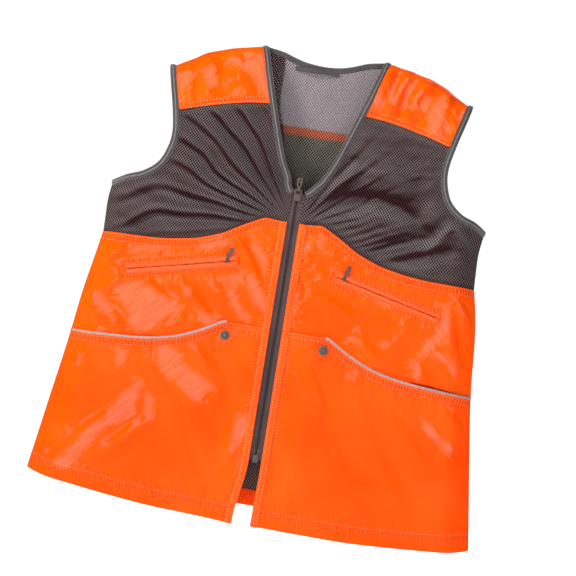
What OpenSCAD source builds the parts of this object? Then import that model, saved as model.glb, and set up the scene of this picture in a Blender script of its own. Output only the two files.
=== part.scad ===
// Sleeveless mesh-and-shell vest lying closed, built as flat layers of cloth with zips and snaps.
// +x is the wearer's left, -y is the front and +z is up. The build has z = 0 at the top of the
// main zip; the finished vest is then lowered so that the origin is level with the hang loop.

/* [Body] */
// Half width of the vest across the armpits
half_chest = 284; // [270:1:300]
// Half width of the vest where the chest mesh meets the orange front
half_waist = 281; // [270:1:290]
// Half width of the front at the hem corner
half_hem = 339; // [320:1:350]
// Depth of the front layer in front of the back layer
body_depth = 34; // [26:1:42]
// Share of the half width at which the side rounding starts
side_flat = 0.86; // [0.84:0.01:0.90]
// Height over which the front rolls over the shoulder
shoulder_roll = 90; // [70:5:110]
// Sideways lean of the shoulders to the wearer's left
lean = 7.5; // [0:0.5:10]
/* [Fabric] */
// Thickness of the coated shell fabric with its lining
shell_thick = 1.2; // [0.8:0.1:1.4]
// Thickness of the mesh
mesh_thick = 0.8; // [0.6:0.1:1.0]
// Height of the turned-up hem
hem_h = 26; // [20:1:32]
// Distance of the pocket layer in front of the shell
pocket_gap = 2.4; // [2:0.1:3]
// Distance of the front's fold line from the centre line
fold_x = 54; // [50:1:56]
/* [Main zip] */
// Length of the main zip below the slider
zip_len = 404; // [380:1:410]
// Pitch of the chain elements
tooth_pitch = 4; // [3:0.5:5]
// Width of one half of the closed chain
chain_w = 3.2; // [3:0.1:3.6]
// Half width of the tape that shows between the plackets
tape_show = 9.5; // [9:0.5:10]
/* [Chest zip] */
// Length of the chest zip opening
chest_zip_len = 168; // [150:1:170]
// Slope of the chest zip, falling towards the side
chest_zip_slope = 13.2; // [10:0.2:15]
// Distance of the chest zip's middle from the centre line
chest_zip_x = 155; // [152:1:158]
// Height of the chest zip's middle, from the top of the main zip
chest_zip_z = -134; // [-138:1:-130]
/* [Snaps] */
// Radius of the snap cap
cap_radius = 7.5; // [6:0.5:8]
// Distance of the snap from the centre line
snap_x = 74; // [70:1:76]
// Height of the snap, from the top of the main zip
snap_z = -227; // [-232:1:-224]
/* [Hidden] */
$fn = 32;
loop_z = 187;      // hang loop
armpit_z = -18;
fold_z = -50;      // top of the orange front at the fold line
waist_z = -102;    // side end of the seam between chest mesh and orange front
mouth_z = -207;    // pocket mouth at the fold line
corner_z = -482;   // hem at the side
hem_z = -501;      // hem at the centre
back_hem_z = -453; // lower edge of the back's mesh layers
band_z = 88;       // lower edge of the back band at the centre

seam_y = 1.0;                  // plane of the side seams
front_y = seam_y - body_depth; // middle of the front layer over its flat part
zip_y = front_y + 1.6;         // middle plane of the main zip
lining_y = 2.0;                // front faces of the two back layers
outer_y = 3.0;

seam_gap = 0.35;           // half of a sewn gap, so that neighbours never share volume
hem_gap = 0.6;             // gap between the hem and the panels above it
panel_x = fold_x + 0.6;    // inner edge of the front panel and its hem
pocket_x = fold_x + 2;     // inner edge of the pocket panel
edge_x = 21;               // inner edge of the strips beside the placket
placket_x = 20.6;          // outer edge of the placket
hem_inset = 3.6;           // how far the hem's side end slopes in over its height
pocket_inset = 9.6;        // distance of the pocket's lower corner from the hem corner
mesh_side_x = half_waist - 1;
yoke_corner = [202.6, 97.3]; // chest mesh's corner at the armhole

orange = [1.0, 0.36, 0.02];
dark = [0.17, 0.15, 0.15];
grey = [0.25, 0.24, 0.24];
silver = [0.62, 0.60, 0.58];
gunmetal = [0.30, 0.27, 0.25];
chain_brown = [0.22, 0.19, 0.19];
box_grey = [0.45, 0.43, 0.42];
chain_orange = [0.75, 0.25, 0.05];

NODES = ["back_lining", "back_outer_mesh", "back_band", "back_hem", "back_neck_binding",
    "hang_loop", "shoulder_panel_left", "shoulder_panel_right", "chest_mesh_left",
    "chest_mesh_right", "front_panel_left", "front_panel_right", "front_hem_left",
    "front_hem_right", "armhole_binding_left", "armhole_binding_right", "armhole_piping",
    "neck_binding_left", "neck_binding_right", "chest_zip_tape_left", "chest_zip_tape_right",
    "chest_zip_teeth_left", "chest_zip_teeth_right", "chest_pocket_bag_left",
    "chest_pocket_bag_right", "snap_stud_left", "snap_stud_right", "lapel_mesh_left",
    "lapel_mesh_right", "front_edge_panel_left", "front_edge_panel_right", "placket_left",
    "placket_right", "lower_edge_panel_left", "lower_edge_panel_right", "lapel_binding_left",
    "lapel_binding_right", "zip_tape_left", "zip_tape_right", "zip_teeth_left",
    "zip_teeth_right", "insertion_pin", "retainer_box", "main_slider", "main_pull",
    "chest_slider_left", "chest_slider_right", "chest_pull_left", "chest_pull_right",
    "pocket_panel_left", "pocket_panel_right", "pocket_piping_left", "pocket_piping_right",
    "snap_cap_left", "snap_cap_right", "snap_socket_left", "snap_socket_right"];

// ---- Curves of one half, as [distance from centre, height] ----
arm_out = [[half_chest, armpit_z], [262, -8], [240, 0], [220, 17], [210, 40], [207, 65],
    [212.5, 102], [221.5, 135], [230, 163]];
arm_in = [[half_chest - 2, -27], [260, -17], [236, -8.5], [213, 10], [201, 37], [198, 65],
    [204, 97], [213, 134], [221.5, 167]];
neck_edge = [[71.5, 127], [79, 150], [92, 194], [97, 213]];
neck_back = [[0, 195], [25, 197], [45, 202], [65, 209], [88, 213]];
shoulder_line = [[97, 213], [135, 204], [175, 192], [200, 178], [221.5, 167]];
yoke_low = [[71.5, 127], [110, 121.5], [155, 111.5], [204, 97]];
seam = [[fold_x, fold_z], [60, -53], [80, -64], [100, -76], [125, -86], [150, -93],
    [200, -100], [half_waist, waist_z]];
side_edge = [[half_hem, corner_z], [322, -370], [305, -260], [290, -165],
    [half_waist, waist_z]];
back_side = [[mesh_side_x, waist_z], [304, -260], [half_hem - 4, back_hem_z]];
hem = [[fold_x, hem_z], [100, -500.5], [160, -499], [250, -491.5], [half_hem, corner_z]];
mouth = [[pocket_x, mouth_z], [76, -206.5], [100, -220], [130, -235], [160, -245.5],
    [200, -252.5], [250, -256.5], [299, -259.5]];
lapel_in = [[8.5, 1.5], [12, 6], [21.5, 20], [36.5, 50], [47, 80], [55.6, 106]];
lapel_out = [[15, -5.6], [21, 0.4], [30, 17], [45.5, 48], [55, 76], [63.5, 101]];

// Half width of the body, as [height, half width]
body_widths = concat([[-500, half_hem + 3]], [for (p = side_edge) [p[1], p[0]]],
    [[armpit_z, half_chest], [250, half_chest]]);
// Top of the front, as [distance from centre, height]
body_tops = [[0, 216], [97, 213], [135, 204], [175, 192], [200, 178], [232, 163]];

// ---- Curve functions ----
function lerp(a, b, t) = a + (b - a) * t;
function clamp(v) = max(0, min(1, v));
function smooth(t) = let (c = clamp(t)) c * c * (3 - 2 * c);
function last(curve) = curve[len(curve) - 1];
function reversed(curve) = [for (i = [len(curve) - 1:-1:0]) curve[i]];
function slice(curve, from, to) = [for (i = [from:to]) curve[i]];
function shifted(curve, dx, dz) = [for (p = curve) p + [dx, dz]];
function with_first(curve, p) = concat([p], slice(curve, 1, len(curve) - 1));
function with_last(curve, p) = concat(slice(curve, 0, len(curve) - 2), [p]);
// Distance along the curve to each of its points
function distances(curve) = [
    for (i = 0, s = 0; i < len(curve);
        s = s + (i < len(curve) - 1 ? norm(curve[i + 1] - curve[i]) : 0), i = i + 1) s];
// Point at share t of the curve's length
function point_at(curve, t) =
    let (along = distances(curve), s = clamp(t) * last(along))
    [for (axis = [0, 1]) lookup(s, [for (i = [0:len(curve) - 1]) [along[i], curve[i][axis]]])];
// Point (s, v) of the Coons patch between four curves
function coons(bottom, top, inner, outer, s, v) =
    (1 - v) * point_at(bottom, s) + v * point_at(top, s)
    + (1 - s) * point_at(inner, v) + s * point_at(outer, v)
    - ((1 - s) * (1 - v) * bottom[0] + s * (1 - v) * last(bottom)
        + (1 - s) * v * top[0] + s * v * last(top));
// The hem curve raised, with its inner end at inner_x and its side end moved in
function raised_hem(inner_x, inset, rise) =
    with_first(with_last(shifted(hem, 0, rise), last(hem) + [-inset, rise]),
        [inner_x, hem_z + rise]);

// ---- Form of the body; side is 1 for the wearer's left and -1 for the right ----
// Depth of the front, rounded off towards the sides and over the shoulders
function depth(x, z) =
    let (u = clamp((x / lookup(z, body_widths) - side_flat) / (1 - side_flat)),
        t = clamp((lookup(x, body_tops) - z) / shoulder_roll))
    body_depth * (1 - u * u) * sqrt(max(0, 1 - (1 - t) * (1 - t)));
// Sideways shift: the shoulders lean, and below the zip the front edges swing to the
// wearer's right
function sway(side, x, z) =
    lean * smooth((z + 60) / 70) * max(smooth(x / 40), smooth(z / 20))
    + 3 * clamp(z / 200)
    - (side < 0 ? 11 : 2) * smooth((-zip_len - z) / (-zip_len - hem_z)) * (1 - smooth(x / 110));
// Rise per unit of x: up to the wearer's left above the waist, down to it below
function tilt(z) =
    z > armpit_z ? 0.02
    : z > waist_z ? 0.02 * (z - waist_z) / (armpit_z - waist_z)
    : 0.031 * (z - waist_z) / 388;
// Place of a curve point as the cloth lies, as [x, z]
function lay(side, p) =
    [side * p[0] + sway(side, p[0], p[1]), p[1] + side * p[0] * tilt(p[1]) * smooth(p[0] / 60)];
function lay_curve(side, curve) = [for (p = curve) lay(side, p)];
// Both halves of an outline as one loop
function both_sides(curve) = concat(lay_curve(1, curve), lay_curve(-1, reversed(curve)));
// The same place on the front layer, as [x, y, z]
function on_front(side, p, offset) =
    let (w = lay(side, p)) [w[0], seam_y - depth(p[0], p[1]) + offset, w[1]];
function front_row(side, row, offset) = [for (p = row) on_front(side, p, offset)];

// ---- Builders ----
function quad(a, b, c, d) = [[a, b, c], [a, c, d]];
// Closed solid between two grids of points; the first grid faces forward
module skin(front, back, mirrored) {
    rows = len(front);
    cols = len(front[0]);
    f = function (i, j) i * cols + j;
    b = function (i, j) rows * cols + i * cols + j;
    m = rows - 1;
    n = cols - 1;
    faces = concat(
        [for (i = [0:m - 1], j = [0:n - 1])
            each quad(f(i, j), f(i, j + 1), f(i + 1, j + 1), f(i + 1, j))],
        [for (i = [0:m - 1], j = [0:n - 1])
            each quad(b(i, j), b(i + 1, j), b(i + 1, j + 1), b(i, j + 1))],
        [for (i = [0:m - 1]) each quad(f(i, 0), f(i + 1, 0), b(i + 1, 0), b(i, 0))],
        [for (i = [0:m - 1]) each quad(f(i + 1, n), f(i, n), b(i, n), b(i + 1, n))],
        [for (j = [0:n - 1]) each quad(f(0, j + 1), f(0, j), b(0, j), b(0, j + 1))],
        [for (j = [0:n - 1]) each quad(f(m, j), f(m, j + 1), b(m, j + 1), b(m, j))]);
    polyhedron(
        points = concat([for (row = front) each row], [for (row = back) each row]),
        faces = mirrored ? [for (t = faces) reversed(t)] : faces,
        convexity = 4);
}
// Grid of curve points laid on the front as a sheet
module sheet(side, grid, thick, offset) {
    skin([for (row = grid) front_row(side, row, offset - thick / 2)],
        [for (row = grid) front_row(side, row, offset + thick / 2)], side < 0);
}
// Patch of cloth between four curves; an inner or outer edge that isn't given is straight.
// A gather above 1 packs the columns towards the outer edge.
module cloth(side, bottom, top, cols, rows, thick, offset = 0, gather = 1,
        inner = undef, outer = undef) {
    inner_edge = is_undef(inner) ? [bottom[0], top[0]] : inner;
    outer_edge = is_undef(outer) ? [last(bottom), last(top)] : outer;
    gap_v = seam_gap / last(distances(inner_edge));
    gap_s = seam_gap / last(distances(bottom));
    sheet(side, [for (i = [0:cols]) [for (j = [0:rows])
        coons(bottom, top, inner_edge, outer_edge,
            lerp(gap_s, 1 - gap_s, 1 - pow(1 - i / cols, gather)),
            lerp(gap_v, 1 - gap_v, j / rows))]], thick, offset);
}
// Band of cloth over the shares from..to of the way between two curves
module band(side, inner, outer, from, to, steps, thick, offset = 0) {
    sheet(side, [for (s = [from, to]) [for (j = [0:steps])
        let (v = lerp(0.004, 0.996, j / steps))
        lerp(point_at(inner, v), point_at(outer, v), s)]], thick, offset);
}
// Flat slab from an [x, z] outline between two y planes
module slab(outline, y0, y1)
    translate([0, y1, 0]) rotate([90, 0, 0]) linear_extrude(y1 - y0) polygon(outline);
// Round bar along x
module bar(radius, length)
    rotate([0, 90, 0]) cylinder(r = radius, h = length, center = true);
// Frames on the flat front: chest zip, with x along it, and snap, with z forward
module chest_at(side)
    translate([side * chest_zip_x, front_y, chest_zip_z])
        rotate([0, side * chest_zip_slope, 0]) children();
module snap_at(side)
    translate([side * snap_x, front_y, snap_z]) rotate([90, 0, 0]) children();

// ---- Back ----
module back_lining() color(dark)
    slab(both_sides(concat(
        shifted(neck_back, 0, -1),
        [[97, 210], [135, 201], [175, 189], [200, 175], [222, 164]],
        shifted(reversed(slice(arm_in, 0, len(arm_in) - 2)), 3, 0),
        back_side,
        [[0, back_hem_z]])), lining_y, lining_y + mesh_thick);

module back_outer_mesh() color(dark)
    slab(both_sides(concat(
        [[0, band_z], [205, band_z - 3], [199, 65], [203, 37], [215, 10], [239, -8.5],
            [260, -17], [half_chest - 2, -27]],
        back_side,
        [[0, back_hem_z]])), outer_y, outer_y + mesh_thick);

module back_band() color(orange)
    slab(both_sides([[0, band_z + 12], [204, band_z + 9], [205, band_z - 2.6],
        [0, band_z + 0.4]]), outer_y, outer_y + 1);

module back_hem() color(orange)
    slab(both_sides([[0, back_hem_z - 0.5], [half_hem - 4, back_hem_z - 0.5],
        [half_hem, -474], [0, -476]]), lining_y, lining_y + 1.8);

module back_neck_binding() color(grey)
    slab(both_sides(concat(neck_back,
        [[92, 207], [66, 202.5], [45, 195.5], [25, 190.5], [0, 188.5]])), seam_y, 1.95);

// Strip along x, bowed forward in the middle; the outline is [x, y]
module hang_loop() color(grey)
    translate([0, 0, loop_z - 4]) linear_extrude(8)
        polygon([[-34, 0.9], [-34, -0.3], [-24, -0.3], [-14, -3.6], [14, -3.6], [24, -0.3],
            [34, -0.3], [34, 0.9], [23.4, 0.9], [13.6, -2.4], [-13.6, -2.4], [-23.4, 0.9]]);

// ---- Shoulders and chest ----
// Yoke on the front that wraps over the shoulder line and down behind the back
module shoulder_panel(side) color(orange) {
    steps = 6;
    wrap_rise = 1.6;
    outside_rise = wrap_rise + shell_thick;
    // Wrap sections from the shoulder line, as [shift outwards, y, shift up]
    outside = [[0, seam_y - 0.1, outside_rise], [0, 3.4, outside_rise], [0, 4.4, 0.5],
        [-4, 4.4, -30], [-8, 4.4, -62]];
    inside = [[0, seam_y + 0.8, wrap_rise], [0, 2.9, wrap_rise], [0, 3.2, 0.3],
        [-4, 3.2, -30], [-8, 3.2, -62]];
    grid = [for (i = [0:steps]) [for (j = [0:steps])
        coons(yoke_low, shoulder_line, neck_edge, slice(arm_in, 6, 8),
            lerp(0.003, 0.997, i / steps), lerp(0.006, 1, j / steps))]];
    wrapped = function (offset, wrap) [for (row = grid)
        let (w = lay(side, last(row)))
        concat(front_row(side, row, offset),
            [for (p = wrap) [w[0] + side * p[0], p[1], w[1] + p[2]]])];
    skin(wrapped(-shell_thick / 2, outside), wrapped(shell_thick / 2, inside), side < 0);
}

module chest_mesh(side) color(dark)
    cloth(side, with_last(seam, [mesh_side_x, waist_z]), with_last(yoke_low, yoke_corner),
        cols = 14, rows = 12, thick = mesh_thick, gather = 1.3,
        inner = [[fold_x, fold_z], [fold_x, 0], [fold_x, 71], [63, 95], [71.5, 127]],
        outer = concat([[mesh_side_x, waist_z], [mesh_side_x, -60]],
            shifted(slice(arm_in, 0, 5), -1.6, -1.2), [yoke_corner]));

module lapel_mesh(side) color(dark)
    cloth(side, [[12, -46.6], [41, -45], [fold_x, fold_z]],
        [[15.5, -7.5], [22, -2], [31.5, 15.5], [47, 46.5], [fold_x, 68]],
        cols = 5, rows = 5, thick = mesh_thick);

// ---- Bindings ----
module armhole_binding(side) color(grey) {
    band(side, arm_in, arm_out, from = 0.05, to = 1, steps = 14, thick = 2.0);
    slab(lay_curve(side, concat(arm_out, shifted(reversed(arm_in), 3.4, 0))),
        lining_y, 2.95);
}

module armhole_piping() color(silver)
    for (side = [-1, 1])
        band(side, arm_in, arm_out, from = 0.42, to = 0.66, steps = 14, thick = 0.8,
            offset = -2.0);

module neck_binding(side) color(grey)
    band(side, [[56.5, 108], [59, 117], [70, 150], [84, 197], [89, 213.5]],
        [[64.5, 103], [71, 125], [79, 150], [92, 194], [96.4, 212.4]],
        from = 0, to = 0.95, steps = 8, thick = 2.0);

// Binding with a raised silver line
module lapel_binding(side) color(grey) {
    band(side, lapel_in, lapel_out, from = 0, to = 0.95, steps = 8, thick = 2.0);
    color(silver)
        band(side, lapel_in, lapel_out, from = 0.42, to = 0.66, steps = 8, thick = 0.8,
            offset = -1.8);
}

// ---- Orange front ----
// Main panel, with the slot of the chest zip and the hole of the snap
module front_panel(side) color(orange) difference() {
    bottom = raised_hem(panel_x, hem_inset, hem_h + hem_gap);
    cloth(side, bottom, with_first(seam, [panel_x, fold_z - 0.5]),
        cols = 20, rows = 10, thick = shell_thick, gather = 1.5,
        outer = with_first(side_edge, last(bottom)));
    chest_at(side) cube([chest_zip_len - 6, 20, 9], center = true);
    snap_at(side) cylinder(r = 2.4, h = 20, center = true);
}

module front_hem(side) color(orange)
    cloth(side, raised_hem(panel_x, 0, 0), raised_hem(panel_x, hem_inset, hem_h),
        cols = 20, rows = 1, thick = pocket_gap + shell_thick, offset = -pocket_gap / 2,
        gather = 1.5);

module front_edge_panel(side) color(orange)
    cloth(side, [[edge_x, hem_z], [fold_x, hem_z]],
        [[edge_x, -46], [41, -45], [fold_x, fold_z]],
        cols = 2, rows = 8, thick = shell_thick);

module lower_edge_panel(side) color(orange)
    cloth(side, [[edge_x, hem_z], [fold_x, hem_z]], [[edge_x, -208], [fold_x, mouth_z]],
        cols = 2, rows = 6, thick = shell_thick, offset = -pocket_gap);

module placket(side) color(orange) {
    end_x = tape_show + 1;
    mid_x = tape_show + 0.5;
    cloth(side, [[end_x, hem_z], [placket_x, hem_z]], [[end_x, -48], [placket_x, -48]],
        cols = 1, rows = 10, thick = 2.2, offset = -0.4,
        inner = [[end_x, hem_z], [mid_x, -zip_len], [mid_x, -300], [end_x, -48]]);
}

module pocket_panel(side) color(orange) difference() {
    bottom = raised_hem(pocket_x, pocket_inset, hem_h + hem_gap);
    cloth(side, bottom, mouth,
        cols = 20, rows = 5, thick = shell_thick, offset = -pocket_gap, gather = 1.5,
        outer = [last(bottom), [316, -370], last(mouth)]);
    snap_at(side) cylinder(r = 1.6, h = 20, center = true);
}

// Silver strip along the pocket mouth
module pocket_piping(side) color(silver) {
    steps = 32;
    line = [for (i = [0:steps]) point_at(mouth, lerp(0.085, 0.985, i / steps))];
    band(side, shifted(line, 0, -2.2), shifted(line, 0, 0.8), from = 0, to = 1,
        steps = steps, thick = 0.8, offset = -pocket_gap - 1.9);
}

// ---- Snaps: cap and socket on the pocket, stud and post on the shell ----
module snap_cap(side) color(gunmetal) snap_at(side) {
    translate([0, 0, pocket_gap + shell_thick / 2 + 0.1]) rotate_extrude()
        polygon([[0, 0], [cap_radius - 0.3, 0], [cap_radius, 0.4], [cap_radius - 0.5, 1.1],
            [cap_radius - 1.8, 1.9], [cap_radius - 3.6, 2.4], [2, 2.7], [0, 2.8]]);
    translate([0, 0, pocket_gap - shell_thick / 2 - 0.3])
        cylinder(r = 1.4, h = shell_thick + 0.6);
}

module snap_socket(side) color(gunmetal) snap_at(side) difference() {
    translate([0, 0, shell_thick / 2 + 0.2])
        cylinder(r = 5.4, h = pocket_gap - shell_thick - 0.3);
    cylinder(r = 2.6, h = 10, center = true);
}

module snap_stud(side) color(gunmetal) snap_at(side) {
    translate([0, 0, -shell_thick / 2 - 1.5]) cylinder(r = 5.2, h = 1.4);
    translate([0, 0, -shell_thick / 2 - 0.3]) cylinder(r = 2.2, h = shell_thick + 0.9);
}

// ---- Main zip ----
slider_z = -4;               // middle of the slider
pin_z = -zip_len + 8.4;      // lower end of the insertion pin
lug_y = -6.0;                // pull's bar, from the middle of the slider
lug_z = 7;

// The left tape is cut away beside the box
module zip_tape(side) color(dark) {
    foot = side > 0 ? [[2, pin_z], [4.4, pin_z], [4.4, -zip_len]] : [[2, -zip_len]];
    outline = concat(foot,
        [[12.4, -zip_len], [12.4, -12], [11.4, 0], [7, 0], [7, -15], [2, -15]]);
    slab([for (p = outline) [side * p[0], p[1]]], zip_y - 0.4, zip_y + 0.4);
}

// Half of the chain, as a toothed strip on each face of the tape; it ends below the slider's post
module zip_teeth(side) color(chain_brown) {
    top = -15.5;
    bottom = -zip_len + 18;
    root_x = 1.9;
    tip_x = 0.75;
    count = floor((top - bottom) / tooth_pitch);
    stagger = side > 0 ? 0 : tooth_pitch / 2 - 0.4;
    outline = concat([[chain_w, top], [root_x, top]],
        [for (k = [0:count - 1]) let (z = top - 0.8 - k * tooth_pitch - stagger)
            each [[root_x, z], [tip_x, z], [tip_x, z - 1.7], [root_x, z - 1.7]]],
        [[root_x, bottom - 0.8], [chain_w, bottom - 0.8]]);
    for (y = [[0.45, 1.5], [-1.5, -0.45]])
        slab([for (p = outline) [side * p[0], p[1]]], zip_y + y[0], zip_y + y[1]);
}

// The pin stands just clear of the box's mouth, so that either front half can swing
// without lifting the cloth first
module insertion_pin() color(gunmetal) difference() {
    translate([1.0, zip_y - 1.3, pin_z]) cube([2.4, 2.6, 8]);
    translate([1.9, zip_y - 0.45, pin_z - 0.4]) cube([3, 0.9, 9]);
}

// Box with a socket below the pin and a slot for the right tape
module retainer_box() color(box_grey) difference() {
    translate([-4.6, zip_y - 2.4, -zip_len - 3]) cube([8.4, 4.8, 11]);
    translate([0.7, zip_y - 1.6, -zip_len - 0.2]) cube([2.3, 3.2, 12]);
    translate([-4.7, zip_y - 0.45, -zip_len - 0.2]) cube([3, 0.9, 12]);
}

// Two plates with a post between them, and lugs that carry the pull's bar
module main_slider() color(gunmetal) translate([0, zip_y, slider_z]) {
    w = 12;
    l = 18;
    plate = 1.5;
    gap = 1.9; // from the middle plane to each plate
    outline = [[-w * 0.36, -l / 2], [w * 0.36, -l / 2], [w * 0.42, -l * 0.1],
        [w / 2, l * 0.22], [w / 2, l * 0.42], [w * 0.36, l / 2], [w * 0.1, l * 0.5],
        [0, l * 0.44], [-w * 0.1, l * 0.5], [-w * 0.36, l / 2], [-w / 2, l * 0.42],
        [-w / 2, l * 0.22], [-w * 0.42, -l * 0.1]];
    slab(outline, -gap - plate, -gap);
    slab(outline, gap, gap + plate);
    translate([-0.45, -gap - 0.2, l * 0.06]) cube([0.9, 2 * gap + 0.4, l * 0.36]);
    for (k = [-1, 1]) hull() {
        translate([k * 3.1, -4.2, 6]) bar(1.9, 1.2);
        translate([k * 3.1, lug_y, lug_z]) bar(1.8, 1.2);
    }
    translate([0, lug_y, lug_z]) bar(1.0, 7.2);
}

// Upright pull: eye, neck and a tab with a square and a round opening
module main_pull() color(gunmetal)
    translate([0, zip_y + lug_y, slider_z + lug_z]) difference() {
        union() {
            bar(2.1, 4.4);
            translate([-2.2, -0.7, 0.8]) cube([4.4, 1.4, 4.6]);
            translate([0, 0.7, 4.8]) rotate([90, 0, 0]) linear_extrude(1.4)
                polygon([[-2.2, 0], [2.2, 0], [4, 2.4], [4, 12], [2.8, 13.6],
                    [-2.8, 13.6], [-4, 12], [-4, 2.4]]);
        }
        bar(1.2, 10);
        translate([-1.6, -2, 6.2]) cube([3.2, 4, 4.4]);
        translate([0, 0, 14.6]) rotate([90, 0, 0]) cylinder(r = 1.6, h = 6, center = true);
    }

// ---- Chest zips ----
chest_slider_x = -69; // slider, from the zip's middle; negative is towards the centre
chest_bar_y = -3.0;   // pull's bar, from the front layer
chest_pitch = 3;      // pitch of the chain elements
chain_inset = 5;      // distance of the chain from each end of the tape

module chest_zip_tape(side) color(orange) chest_at(side)
    for (z = [1.0, -11])
        translate([-chest_zip_len / 2, 0.9, z]) cube([chest_zip_len, 0.7, 10]);

// Both halves of the chain, with a stop block at each end
module chest_zip_teeth(side) color(chain_orange) chest_at(side) {
    length = chest_zip_len - 2 * chain_inset;
    count = floor(length / chest_pitch);
    outline = concat([[0, 2.2], [0, 1.2]],
        [for (i = [0:count - 1]) let (x = i * chest_pitch)
            each [[x + 0.4, 1.2], [x + 0.4, 0.6], [x + 1.9, 0.6], [x + 1.9, 1.2]]],
        [[length, 1.2], [length, 2.2]]);
    for (k = [-1, 1]) {
        translate([-chest_zip_len / 2 + chain_inset, 2.75, 0]) rotate([90, 0, 0])
            linear_extrude(1.0) polygon([for (p = outline) [p[0], k * p[1]]]);
        for (end = [-1, 1])
            translate([end * (chest_zip_len / 2 - 3) - 1.3, 1.65, k > 0 ? 0.6 : -2.6])
                cube([2.6, 1.2, 2.0]);
    }
}

module chest_slider(side) color(gunmetal)
    chest_at(side) translate([side * chest_slider_x, 0, 0]) {
        octagon = [[-5.5, -2.2], [-4.2, -3.6], [2, -4.2], [5.5, -3.6], [5.5, 3.6],
            [2, 4.2], [-4.2, 3.6], [-5.5, 2.2]];
        outline = [for (p = octagon) [-side * p[0], p[1]]];
        slab(outline, -0.6, 0.55);
        slab(outline, 3.1, 4.0);
        translate([side * -3.2 - 1.8, 0.5, -0.4]) cube([3.6, 2.7, 0.8]);
        for (k = [-1, 1]) hull() {
            translate([k * 3.6, -0.5, 0]) bar(1.5, 1.0);
            translate([k * 3.6, chest_bar_y, 0]) bar(1.3, 1.0);
        }
        translate([0, chest_bar_y, 0]) bar(0.8, 7.6);
    }

// tab_tilt is how far the tab leans along the zip, towards the centre
module chest_pull(side, tab_tilt) color(gunmetal)
    chest_at(side) translate([side * chest_slider_x, chest_bar_y, 0]) difference() {
        union() {
            bar(1.7, 5.0);
            translate([-2.0, -0.6, 0.6]) cube([4.0, 1.2, 4.6]);
            translate([0, 0, 4]) rotate([0, -side * tab_tilt, 0]) translate([0, 0.6, 0])
                rotate([90, 0, 0]) linear_extrude(1.2)
                    polygon([[-1.9, -0.6], [1.9, -0.6], [3, 4], [3.2, 17], [2.2, 18.6],
                        [-2.2, 18.6], [-3.2, 17], [-3, 4]]);
        }
        bar(0.95, 12);
    }

// Flat bag behind the chest zip
module chest_pocket_bag(side) color(grey)
    translate([side * chest_zip_x, 0, 0])
        slab([[-82, chest_zip_z + 4], [82, chest_zip_z + 4], [80, chest_zip_z - 120],
            [-80, chest_zip_z - 120]], front_y + 6.0, front_y + 7.2);

// ---- Nodes ----
module draw(name) {
    if (name == "back_lining") back_lining();
    if (name == "back_outer_mesh") back_outer_mesh();
    if (name == "back_band") back_band();
    if (name == "back_hem") back_hem();
    if (name == "back_neck_binding") back_neck_binding();
    if (name == "hang_loop") hang_loop();
    if (name == "armhole_piping") armhole_piping();
    if (name == "insertion_pin") insertion_pin();
    if (name == "retainer_box") retainer_box();
    if (name == "main_slider") main_slider();
    if (name == "main_pull") main_pull();
    for (side = [1, -1]) {
        end = side > 0 ? "_left" : "_right";
        if (name == str("shoulder_panel", end)) shoulder_panel(side);
        if (name == str("chest_mesh", end)) chest_mesh(side);
        if (name == str("front_panel", end)) front_panel(side);
        if (name == str("front_hem", end)) front_hem(side);
        if (name == str("armhole_binding", end)) armhole_binding(side);
        if (name == str("neck_binding", end)) neck_binding(side);
        if (name == str("chest_zip_tape", end)) chest_zip_tape(side);
        if (name == str("chest_zip_teeth", end)) chest_zip_teeth(side);
        if (name == str("chest_pocket_bag", end)) chest_pocket_bag(side);
        if (name == str("snap_stud", end)) snap_stud(side);
        if (name == str("lapel_mesh", end)) lapel_mesh(side);
        if (name == str("front_edge_panel", end)) front_edge_panel(side);
        if (name == str("placket", end)) placket(side);
        if (name == str("lower_edge_panel", end)) lower_edge_panel(side);
        if (name == str("lapel_binding", end)) lapel_binding(side);
        if (name == str("zip_tape", end)) zip_tape(side);
        if (name == str("zip_teeth", end)) zip_teeth(side);
        if (name == str("chest_slider", end)) chest_slider(side);
        if (name == str("chest_pull", end)) chest_pull(side, tab_tilt = side > 0 ? -4 : 34);
        if (name == str("pocket_panel", end)) pocket_panel(side);
        if (name == str("pocket_piping", end)) pocket_piping(side);
        if (name == str("snap_cap", end)) snap_cap(side);
        if (name == str("snap_socket", end)) snap_socket(side);
    }
}
for (name = NODES)
    translate([0, 0, -loop_z]) draw(name);
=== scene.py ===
# A sleeveless zip vest with a mesh chest and back, laid out flat with its front towards -Y.
# +Z is up and +X is the wearer's left. Lengths are in millimetres, measured from the centre line
# and from the top of the main zip; the hanging loop, LOOP_HEIGHT above it, is the scene's origin.
# In the code, x and z are places on one half of the pattern (x is the distance from the centre),
# X and Z are places on the garment as it lies. `side` is 1 for the left half, -1 for the right.
import math

import bpy
import bmesh
import numpy as np
from mathutils import Matrix, Vector
from mathutils.bvhtree import BVHTree


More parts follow.
